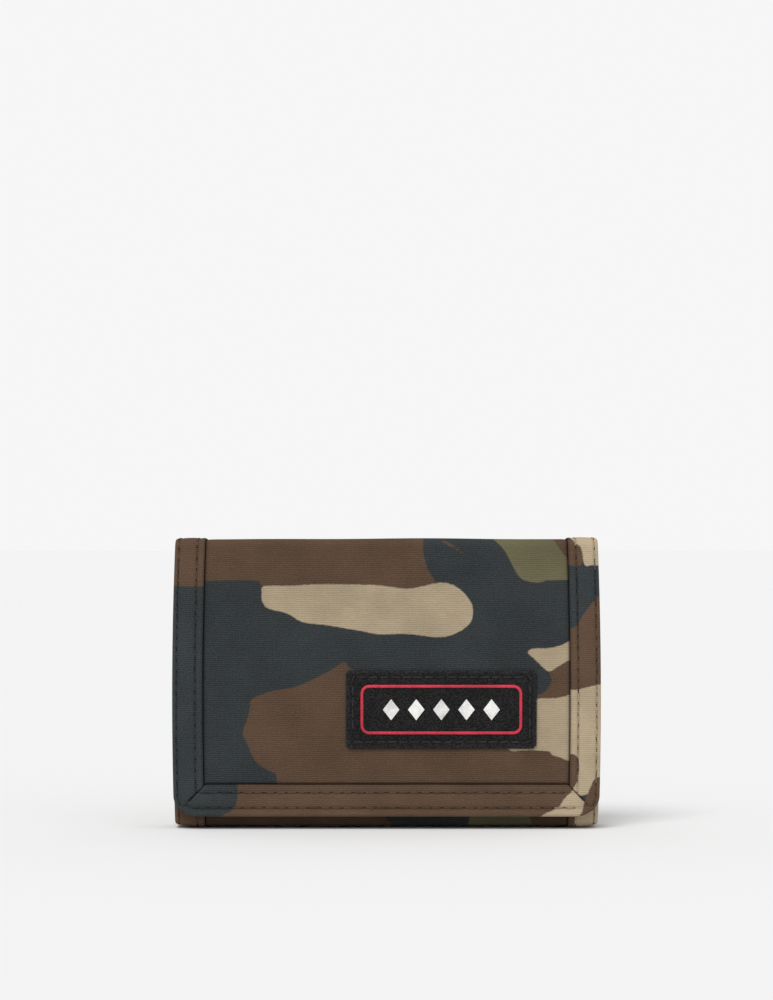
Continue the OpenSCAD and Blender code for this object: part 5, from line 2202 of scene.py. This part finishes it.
@dataclass(frozen=True)
class Tray:
    """A pocket's sheet: flat in front, with its sides and bottom turned down to its base."""

    half: float
    low: float
    top: float
    face: float
    base: float
    sheet: float = 0.34
    turn: float = 0.55
    fold: float = 6.0
    clear: float = 0.16
    sag: float = 0.5
    swell: float = 0.14

    def grids(self) -> tuple[Array, Array, Array, Array]:
        """Front and back grids, and the columns' and rows' places.

        The sheet's height over its base is D a(u) b(v): a follows a line up one side, across
        and down the other, b one up the bottom, each with round corners.
        """
        rise = abs(self.face - self.base)
        turn = min(self.turn, rise * 0.45)
        runs = [4, len(steps(0, 2 * self.half, 1.7)), 4]
        side = bent_line([(-self.half, 0), (-self.half, rise), (self.half, rise),
                          (self.half, 0)], [turn, turn], runs, 4)
        upward = bent_line([(self.low, 0), (self.low, rise), (self.top, rise)], [turn],
                           [4, len(steps(self.low, self.top, 1.5))], 4)
        a, b = side[:, 1] / rise, upward[:, 1] / rise
        sign = np.sign(self.face - self.base)
        x, z = side[:, 0], upward[:, 0]
        over = smooth((z - (self.top - self.fold)) / 0.6) * self.clear
        arch = np.cos(x / self.half * math.pi / 2)
        sag = self.sag * arch * smooth((z[:, None] - self.low) / 30)
        swell = self.swell * arch[None, :] * b[:, None] * np.sin(
            (z[:, None] - self.low) / (self.top - self.low) * math.pi)
        lift = (rise - self.clear) * a[None, :] * b[:, None] + over[:, None] * a[None, :] + swell
        zz = z[:, None] - sag * (b[:, None] > 0.99)
        front = np.stack([np.broadcast_to(x, lift.shape), self.base + sign * lift,
                          np.broadcast_to(zz, lift.shape)], axis=-1)
        t = self.sheet
        thick = t + over[:, None] * 0.8
        x_in = x * (self.half - t) / self.half
        z_in = self.low + t + (zz - self.low) * (1 - t / (self.top - self.low))
        z_in = np.where(b[:, None] > 0.99, zz, z_in)
        low_in = np.clip(lift - thick, 0.0, None)
        back = np.stack([np.broadcast_to(x_in, lift.shape), self.base + sign * low_in,
                         np.broadcast_to(z_in, lift.shape)], axis=-1)
        return front, back, x, z

    def flat(self) -> tuple[float, float]:
        """The sheet's cut size: width with both turned sides, length with turned bottom."""
        rise = abs(self.face - self.base)
        return 2 * self.half + 2 * rise, self.top - self.low + rise

    def make(self, name: str, thread: Mesher) -> bpy.types.Object:
        """Makes the sheet, and sews the fold at its top."""
        front, back, x, z = self.grids()
        mesher = Mesher()
        worn = np.broadcast_to((smooth((z - self.top + 1.6) / 1.6) * 0.6 + 0.06)[:, None],
                               front.shape[:2])
        mesher.slab(front, back, None, {"worn": worn}, rims=(0, 1, 0, 0))
        rows = line_indices(z, np.array([self.top - self.fold + 1.2]))
        cols = np.arange(7, len(x) - 7, 0.5)
        STITCH.sew(thread, front, back, np.full(len(cols), rows[0]), cols)
        return mesher.make(name)


@dataclass
class Pockets(Maker):
    """Note pocket, card slots and the coin pouch behind the zip."""

    nest: float = 0.4
    pouch_sheet: float = 0.3
    pouch_clear: float = 0.1

    def _tray(self, node: str, base: float, face: float, step: int) -> Tray:
        """A tray for a node: `step` counts how many trays lie over it."""
        low, high = span(node)
        shrink = self.nest * step
        return Tray(float(high[0]) - shrink, float(low[2]) + shrink, float(high[2]), face, base)

    def build(self) -> None:
        """Makes every pocket and its stitching."""
        for body, key, trays in (
                ("back", "back", (("note_divider", S.lining_face, 1, 0),
                                  ("back_slot_1", None, 1, 2), ("back_slot_2", None, 1, 1),
                                  ("back_slot_3", None, 1, 0))),
                ("lower_panel", "lower", (("lower_slot_1", S.lower_inner, -1, 1),
                                          ("lower_slot_2", None, -1, 0)))):
            thread = Mesher()
            floor = S.divider_face if body == "back" else S.lower_inner
            for node, base, sign, step in trays:
                face = depths(node)[1 if sign > 0 else 0]
                tray = self._tray(node, floor if base is None else base, face, step)
                piece = self.finish(tray.make(f"{node}_sheet", thread), POCKET, node, body=body)
                flat = tray.flat()
                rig.sheet(piece, flat=(flat[0] * MM, flat[1] * MM), held="folded",
                         rests_on=[f"{key}_lining_cloth"])
            self.finish(thread.make(f"{key}_pocket_seams"), POCKET_SEWING, body=body)
        self._pouch()

    def _pouch(self) -> None:
        """The coin pouch: one sheet folded at its bottom, open at the zip."""
        low, high = span("coin_pouch")
        far, near = depths("coin_pouch")
        near, far = near - self.pouch_clear, far + self.pouch_clear
        half, base, top = float(high[0]), float(low[2]), float(high[2]) - 0.3
        runs = [40, 2, 40]
        outer = bent_line([(far, top), (far, base), (near, base), (near, top)], [0.6, 0.6], runs, 4)
        t = self.pouch_sheet
        inner = bent_line([(far + t, top), (far + t, base + t), (near - t, base + t),
                           (near - t, top)], [0.3, 0.3], runs, 4)
        x = steps(-half, half, 2.6)
        strip = Strip(outer, inner, 0.0)
        mesher = Mesher()
        cloth = cloth_grid(x, strip.along)
        shape = (len(outer), len(x))
        mesher.slab(strip.place(x, np.zeros(shape)),
                    strip.place(x, np.broadcast_to(strip.thick[:, None], shape)), cloth,
                    {"worn": np.full(shape, 0.05)}, rims=(1, 1, 0, 0))
        pouch = self.finish(mesher.make("coin_pouch_bag"), POCKET, "coin_pouch", body="back")
        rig.sheet(pouch, flat=(2 * half * MM, float(strip.along[-1]) * MM), held="folded",
                 rests_on=["back_canvas"])


# ---------------------------------------------------------------- identity window

@dataclass
class IdWindow(Maker):
    """The clear window inside the flap: a cloth frame sewn down over a film."""

    border: float = 5.0
    lap: float = 2.0
    seam_in: float = 1.7

    def build(self) -> None:
        """Makes the frame, its stitching and the film."""
        low, high = span("id_window_frame")
        near, far = depths("id_window_frame")
        x0, z0, z1 = float(high[0]), float(low[2]), float(high[2])
        x, at_x = broken_steps((-x0, -x0 + self.border, x0 - self.border, x0), 0.9)
        z, at_z = broken_steps((z0, z0 + self.border, z1 - self.border, z1), 0.9)
        face, under = flat_grid(x, z, near), flat_grid(x, z, far - 0.03)
        gap = np.minimum.reduce([x0 - np.abs(face[..., 0]), face[..., 2] - z0,
                                 z1 - face[..., 2]])
        hole = np.maximum(np.abs(face[..., 0]) - (x0 - self.border),
                          np.maximum(z0 + self.border - face[..., 2],
                                     face[..., 2] - (z1 - self.border)))
        edge = np.minimum(gap, hole)
        face[..., 1] += 0.3 * np.exp(-edge / 0.5) + 0.14 * np.exp(-((gap - self.seam_in) / 0.5) ** 2)
        mesher = Mesher()
        framed(mesher, face, under, face[..., [0, 2]],
               {"worn": 0.06 + 0.4 * np.exp(-edge / 0.7)}, (at_z[1], at_z[2]),
               (at_x[1], at_x[2]), 1.0)
        self.finish(mesher.make("id_window_border"), POCKET, "id_window_frame", body="flap")
        thread = Mesher()
        s = self.seam_in
        rows, cols = rectangle_indices(x, z, (-x0 + s, x0 - s, z0 + s, z1 - s))
        STITCH.sew(thread, face, under, rows, cols)
        self.finish(thread.make("id_window_seam"), POCKET_SEWING, body="flap")
        hx = x0 - self.border + self.lap
        fx = steps(-hx, hx, 2.0)
        fz = steps(z0 + self.border - self.lap, z1 - self.border + self.lap, 2.0)
        front, back = (flat_grid(fx, fz, depth) for depth in depths("id_window_film"))
        wave = 0.12 * np.sin(fx / 9)[None, :] * np.sin((fz / 11)[:, None] + 0.4)
        front[..., 1] += wave
        back[..., 1] += wave
        mesher = Mesher()
        mesher.slab(front, back, rims=(0, 0, 0, 0))
        self.finish(mesher.make("id_window_sheet"), FILM, "id_window_film", body="flap")


# ---------------------------------------------------------------- hook and loop

@dataclass
class TouchFastener(Maker):
    """The flap's hook strip and the loop strip that it grips."""

    hook_pitch: float = 1.55
    loop_pitch: float = 1.25
    seam_in: float = 1.5
    backing: float = 0.5
    border: float = 2.6
    corner: float = 1.6

    def _backing(self, node: str, name: str, toward: int, finish: Finish, body: str,
                 radius: float) -> tuple[float, tuple[float, float], tuple[float, float]]:
        """A strip's cloth and its stitching. Returns its face, half sizes and middle."""
        low, high = span(node)
        half = (float(high[0]), float(high[2] - low[2]) / 2)
        middle = (0.0, float(high[2] + low[2]) / 2)
        base = depths(node)[0 if toward > 0 else 1]
        face = base + toward * self.backing
        x = steps(-half[0], half[0], 0.9)
        z = steps(middle[1] - half[1], middle[1] + half[1], 0.9)
        front = round_corners(flat_grid(x, z, face), half, middle, radius)
        back = round_corners(flat_grid(x, z, base + toward * 0.02), half, middle, radius)
        gap = np.minimum(half[0] - np.abs(front[..., 0]),
                         half[1] - np.abs(front[..., 2] - middle[1]))
        front[..., 1] -= toward * 0.16 * np.exp(-((gap - self.seam_in) / 0.5) ** 2)
        mesher = Mesher()
        mesher.slab(front, back, None, {"worn": np.full(gap.shape, 0.08)}, rims=(1, 1, 1, 1))
        self.finish(mesher.make(name), finish, node, body=body)
        thread = Mesher()
        s = self.seam_in
        rows, cols = rectangle_indices(x, z, (-half[0] + s, half[0] - s, z[0] + s, z[-1] - s))
        STITCH.sew(thread, front, back, rows, cols)
        self.finish(thread.make(f"{name}_seam"), POCKET_SEWING, body=body)
        return face, half, middle

    @staticmethod
    def _spots(half: tuple[float, float], middle: tuple[float, float], pitch: float,
               border: float, seed: int) -> tuple[Array, Array, np.random.Generator]:
        """Places of a staggered field of hooks or loops, slightly shaken."""
        rng = np.random.default_rng(seed)
        x = steps(-half[0] + border, half[0] - border, pitch)
        z = steps(middle[1] - half[1] + border, middle[1] + half[1] - border, pitch)
        zz, xx = np.meshgrid(z, x, indexing="ij")
        xx = xx + (np.arange(len(z)) % 2)[:, None] * pitch / 2
        keep = np.abs(xx) < half[0] - border
        xx, zz = xx[keep], zz[keep]
        return (xx + rng.normal(0, pitch * 0.06, xx.shape),
                zz + rng.normal(0, pitch * 0.06, zz.shape), rng)

    def _plant(self, name: str, shape: Array, x: Array, face: float, z: Array, axes: Array,
               finish: Finish, body: str) -> None:
        """Makes one piece of many copies of a shape, standing on a strip's face."""
        mesher = Mesher()
        mesher.copies(shape, np.stack([x, np.full_like(x, face), z], axis=-1), axes)
        self.finish(mesher.make(name), finish, body=body)

    def build(self) -> None:
        """Makes both strips, their hooks and their loops."""
        face, half, middle = self._backing("hook_strip", "hook_strip_cloth", -1, HOOK_CLOTH,
                                           "flap", self.corner)
        x, z, rng = self._spots(half, middle, self.hook_pitch, self.border, 11)
        q = np.linspace(0, 1.25 * math.pi, 6)
        bend = np.stack([0.20 * (1 - np.cos(q)), np.zeros(6), 0.30 + 0.13 * np.sin(q)], axis=-1)
        path = np.concatenate([[(0, 0, -0.05), (0, 0, 0.15)], bend])
        hook = sweep(path, 0.10, 4, np.array([0.0, 1.0, 0.0]))
        turn = np.where(rng.random(len(x)) < 0.5, 1.0, -1.0)
        axes = np.zeros((len(x), 3, 3))
        axes[:, 0, 0], axes[:, 1, 2], axes[:, 2, 1] = turn, 1.0, -1.0
        self._plant("hooks", hook, x, face, z, axes, HOOK_CLOTH, "flap")
        face, half, middle = self._backing("loop_strip", "loop_strip_cloth", 1, LOOP_CLOTH,
                                           "lower_panel", self.corner)
        x, z, rng = self._spots(half, middle, self.loop_pitch, self.border, 12)
        s = np.linspace(0, math.pi, 7)
        arch = np.stack([-0.55 * np.cos(s), 0.25 * np.sin(2 * s), 0.42 * np.sin(s) - 0.04], axis=-1)
        loop = sweep(arch, 0.085, 4, np.array([0.0, 1.0, 0.1]))
        spin = rng.uniform(0, 2 * math.pi, len(x))
        axes = np.zeros((len(x), 3, 3))
        axes[:, 0, 0], axes[:, 0, 2] = np.cos(spin), np.sin(spin)
        axes[:, 1, 0], axes[:, 1, 2] = -np.sin(spin), np.cos(spin)
        axes[:, 2, 1] = rng.uniform(0.8, 1.12, len(x))
        self._plant("loops", loop, x, face, z, axes, LOOP_CLOTH, "lower_panel")


# ---------------------------------------------------------------- zip

@dataclass
class Zip(Maker):
    """The coin pocket's zip: woven tapes, two coils, and the frame's own metal parts."""

    turn: float = 1.6
    cord: float = 0.27
    reach: float = 1.12
    deep: float = 0.34
    overlap: float = 0.42
    clear: float = 0.02

    def build(self) -> None:
        """Makes the tapes and coils, and dresses the stops, slider and puller."""
        middle = float((span("zip_tape_upper")[0][2] + span("zip_tape_lower")[1][2]) / 2)
        for word, up in (("upper", 1), ("lower", -1)):
            low, high = span(f"zip_tape_{word}")
            x = steps(float(low[0]), float(high[0]), 1.4)
            z = steps(float(low[2]), float(high[2]), 0.7)
            near, far = depths(f"zip_tape_{word}")
            face, under = flat_grid(x, z, near + self.clear), flat_grid(x, z, far - self.clear)
            inner_edge = float(low[2] if up > 0 else high[2])
            bead = np.exp(-((z - inner_edge) / 0.7) ** 2)[:, None]
            worn = 0.05 + 0.3 * np.broadcast_to(bead, face.shape[:2])
            mesher = Mesher()
            mesher.slab(face, under, None, {"worn": worn}, rims=(1, 1, 1, 1))
            tape = self.finish(mesher.make(f"zip_tape_{word}_weave"), TAPE, f"zip_tape_{word}",
                               body="back")
            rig.sheet(tape, flat=(float(high[0] - low[0]) * MM, float(high[2] - low[2]) * MM),
                     held="stretched", rests_on=["back_canvas"])
            teeth_low, teeth_high = span(f"zip_teeth_{word}")
            self._coil(word, up, middle, float(teeth_low[0]), float(teeth_high[0]),
                       S.back_y - float(teeth_low[1] + teeth_high[1]) / 2)
        for node in ("zip_stop_left", "zip_stop_right", "zip_slider", "zip_puller"):
            self.wardrobe.dress(frame["nodes"][node], METAL)

    def _coil(self, word: str, up: int, middle: float, start: float, end: float,
              depth: float) -> None:
        """One coil: a flattened helix that passes its partner's loops between its own.

        x = start + turn (s + 1/2), height = middle + up (reach - overlap + reach cos 2 pi s),
        depth = middle depth + deep sin 2 pi s. s counts turns, and the lower coil's angle is
        half a turn further.
        """
        turns = (end - start - self.turn) / self.turn
        s = np.linspace(0, turns, int(turns * 10) + 1)
        phase = 0.0 if up > 0 else 0.5
        angle = 2 * math.pi * (s + phase)
        path = np.stack([start + self.turn * (s + 0.5),
                         depth + self.deep * np.sin(angle),
                         middle + up * (self.reach - self.overlap + self.reach * np.cos(angle))],
                        axis=-1)
        mesher = Mesher()
        mesher.grid(sweep(path, self.cord, 6, np.array([1.0, 0.0, 0.0])))
        self.finish(mesher.make(f"zip_coil_{word}"), COIL, f"zip_teeth_{word}", body="back")


# ---------------------------------------------------------------- label

@dataclass
class Label(Maker):
    """The sewn patch on the flap, with a raised line round it and a row of lozenges."""

    corner: float = 0.7
    seam_in: float = 1.7
    line: float = 0.9
    line_radius: float = 2.2
    marks: int = 5
    mark_w: float = 5.0

    def build(self) -> None:
        """Makes the patch, its stitching, its raised line and its lozenges."""
        low, high = span("label_patch")
        half = (float(high[0] - low[0]) / 2, float(high[2] - low[2]) / 2)
        middle = (float(high[0] + low[0]) / 2, float(high[2] + low[2]) / 2)
        base, face = depths("label_patch")
        x = steps(float(low[0]), float(high[0]), 0.6)
        z = steps(float(low[2]), float(high[2]), 0.6)
        front = round_corners(flat_grid(x, z, face), half, middle, self.corner)
        back = round_corners(flat_grid(x, z, base - 0.1), half, middle, self.corner)
        gap = np.minimum(half[0] - np.abs(front[..., 0] - middle[0]),
                         half[1] - np.abs(front[..., 2] - middle[1]))
        front[..., 1] += (0.12 * (1 - np.exp(-gap / 3)) - 0.12
                          - 0.30 * np.exp(-((gap - self.seam_in) / 0.55) ** 2))
        mesher = Mesher()
        mesher.slab(front, back, None, {"worn": 0.05 + 0.8 * np.exp(-gap / 0.55)},
                    rims=(1, 1, 1, 1))
        self.finish(mesher.make("label"), LEATHER, "label_patch", body="flap")
        thread = Mesher()
        s = self.seam_in
        rows, cols = rectangle_indices(x, z, (x[0] + s, x[-1] - s, z[0] + s, z[-1] - s), 0.5)
        STITCH.sew(thread, front, back, rows, cols)
        self.finish(thread.make("label_seam"), BLACK_SEWING, body="flap")
        low, high = span("label_border")
        half = (float(high[0] - low[0] - self.line) / 2, float(high[2] - low[2] - self.line) / 2)
        middle = (float(high[0] + low[0]) / 2, float(high[2] + low[2]) / 2)
        top = depths("label_border")[1]
        self._line(half, middle, face, top)
        self._lozenges(middle, face, top)

    def _line(self, half: tuple[float, float], middle: tuple[float, float], face: float,
              top: float) -> None:
        """The raised line: a low domed section carried round a rounded rectangle."""
        path = ring_path(half, middle, self.line_radius, 0.7)
        path = np.concatenate([path, path[:1]])
        ahead = unit(np.roll(path[:-1], -1, 0) - np.roll(path[:-1], 1, 0))
        ahead = np.concatenate([ahead, ahead[:1]])
        out = np.stack([ahead[:, 1], -ahead[:, 0]], axis=-1)
        q = np.linspace(0, math.pi, 8)
        across = np.concatenate([[1.0], np.cos(q), [-1.0, 1.0]]) * self.line / 2
        rise = np.concatenate([[-0.25], np.sin(q) ** 0.5 * (top - face), [-0.25, -0.25]])
        spot = path[:, None, :] + out[:, None, :] * across[None, :, None]
        deep = np.broadcast_to(face + rise, spot.shape[:2])
        grid = np.stack([spot[..., 0], deep, spot[..., 1]], axis=-1)
        mesher = Mesher()
        mesher.grid(grid, None, {"worn": np.broadcast_to(0.3 * (rise > 0.1), grid.shape[:2])})
        self.finish(mesher.make("label_line"), RED, "label_border", body="flap")

    def _lozenges(self, middle: tuple[float, float], face: float, top: float) -> None:
        """The lozenges: pillows on a diamond, |p| + |q| = 1 mapped from a square grid."""
        low, high = span("label_marks")
        pitch = (float(high[0] - low[0]) - self.mark_w) / (self.marks - 1)
        height = float(high[2] - low[2])
        u = np.linspace(-1, 1, 11)
        vv, uu = np.meshgrid(u, u, indexing="ij")
        across, up = (uu + vv) / 2 * self.mark_w / 2, (uu - vv) / 2 * height / 2
        rim = np.minimum(1 - np.abs(uu), 1 - np.abs(vv))
        rise = (top - face) * (0.55 + 0.45 * smooth(rim / 0.4))
        mesher = Mesher()
        for i in range(self.marks):
            x = middle[0] + (i - (self.marks - 1) / 2) * pitch
            front = np.stack([x + across, face + rise, middle[1] + up], axis=-1)
            back = np.stack([x + across, np.full_like(across, face - 0.2), middle[1] + up], axis=-1)
            mesher.slab(front, back, None, {"worn": np.full(rise.shape, 0.15)},
                        rims=(0, 0, 0, 0))
        self.finish(mesher.make("label_lozenges"), WHITE, "label_marks", body="flap")


# ---------------------------------------------------------------- studio

@dataclass
class Studio:
    """Floor, soft lights, pale surround and camera."""

    eye_height: float = 0.09985
    field_height: float = 0.3030
    distance: float = 1.10
    sensor: float = 36.0
    pale: float = 0.9216
    surround: float = 0.56
    floor_tone: float = 0.86

    def build(self) -> None:
        """Sets up everything that isn't part of the wallet."""
        self._floor()
        self._world()
        self._light("key", -20.0, 56.0, 28.0, 1.70)
        self._light("fill", 38.0, 35.0, 60.0, 0.22)
        self._camera()
        bpy.context.scene.view_settings.view_transform = "Standard"

    def _floor(self) -> None:
        """A wide pale plane at the wallet's base."""
        size = 6.0
        mesh = bpy.data.meshes.new("floor")
        mesh.from_pydata([(-size, -size, 0), (size, -size, 0), (size, size, 0), (-size, size, 0)],
                         [], [(0, 1, 2, 3)])
        floor = bpy.data.objects.new("floor", mesh)
        bpy.context.scene.collection.objects.link(floor)
        material = bpy.data.materials.new("pale_floor")
        material.use_nodes = True
        shader = material.node_tree.nodes["Principled BSDF"]
        shader.inputs["Base Color"].default_value = (*[self.floor_tone] * 3, 1)
        shader.inputs["Roughness"].default_value = 1.0
        shader.inputs["Specular IOR Level"].default_value = 0.0
        mesh.materials.append(material)
        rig.stage(floor)

    def _world(self) -> None:
        """Even pale light from everywhere; the camera sees the backdrop's own tone."""
        world = bpy.data.worlds.new("surround")
        bpy.context.scene.world = world
        world.use_nodes = True
        nodes = Nodes(world.node_tree)
        world.node_tree.nodes.clear()
        seen = nodes.add("Background", {0: (self.pale, self.pale, self.pale, 1), 1: 1.0})
        lit = nodes.add("Background", {0: (1, 1, 1, 1), 1: self.surround})
        path = nodes.add("LightPath").outputs["Is Camera Ray"]
        mix = nodes.add("MixShader", {0: path})
        world.node_tree.links.new(lit.outputs[0], mix.inputs[1])
        world.node_tree.links.new(seen.outputs[0], mix.inputs[2])
        end = nodes.add("OutputWorld")
        world.node_tree.links.new(mix.outputs[0], end.inputs[0])

    @staticmethod
    def _light(name: str, azimuth: float, elevation: float, softness: float,
               power: float) -> None:
        """A distant light of wide angle, so that the floor stays even.

        Args:
            name: the light's name.
            azimuth: degrees from straight in front, positive towards the right.
            elevation: degrees above the floor.
            softness: the light's angle across, in degrees.
            power: its strength.
        """
        data = bpy.data.lights.new(name, "SUN")
        data.angle = math.radians(softness)
        data.energy = power
        light = bpy.data.objects.new(name, data)
        bpy.context.scene.collection.objects.link(light)
        light.rotation_euler = (math.radians(90 - elevation), 0, math.radians(azimuth))

    def _camera(self) -> None:
        """A level camera in front, whose field has the wanted height at the flap's face."""
        data = bpy.data.cameras.new("camera")
        data.sensor_fit = "VERTICAL"
        data.sensor_height = self.sensor
        data.lens = self.sensor * self.distance / self.field_height
        camera = bpy.data.objects.new("camera", data)
        bpy.context.scene.collection.objects.link(camera)
        face = (S.back_y - S.flap_face) * MM
        camera.location = (0.0, face - self.distance, self.eye_height)
        camera.rotation_euler = (math.pi / 2, 0, 0)
        data.clip_start, data.clip_end = 0.01, 50.0
        bpy.context.scene.camera = camera


# ---------------------------------------------------------------- assembly

def declare_canvas(shell: dict[str, bpy.types.Object],
                   bindings: dict[str, bpy.types.Object]) -> None:
    edge = 2 * (S.half_w - Shell.short) * MM
    for key, fold, strip, board in (
            ("flap", Fold.TOP_FLAP, FOLDS.flap(S.flap_lift + Shell.hem_gap), "flap_stiffener"),
            ("back", Fold.TOP_BACK, FOLDS.back(S.lining_face), "back_stiffener"),
            ("lower", Fold.BASE, FOLDS.lower(S.lower_top - Shell.hem_gap), "lower_stiffener")):
        piece = fold.cross(shell[key])
        mine = [p for name, p in bindings.items() if name.startswith(key)]
        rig.sheet(piece, flat=(edge, float(lengths(strip.outer)[-1]) * MM), held="stretched",
                 rests_on=[board], with_pieces=mine)
    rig.ride(shell["back_seam"], "back")


def write_sizes() -> None:
    """Writes the frame's box and the finished model's box."""
    boxes = {"cad": [list(corner) for corner in CAD_BOUNDS],
             "visual": [list(corner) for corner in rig.bounds()]}
    with open("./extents.json", "w") as out:
        json.dump(boxes, out)


def main() -> None:
    """Builds every sub-assembly in order."""
    logging.basicConfig(level=logging.INFO, format="%(name)s: %(message)s")
    wardrobe = Wardrobe(Effects.build())
    Studio().build()
    shell = Shell(wardrobe).build()
    bindings = Bindings(wardrobe).build()
    declare_canvas(shell, bindings)
    Pockets(wardrobe).build()
    IdWindow(wardrobe).build()
    TouchFastener(wardrobe).build()
    Zip(wardrobe).build()
    Label(wardrobe).build()
    write_sizes()


if __name__ == "__main__":
    main()
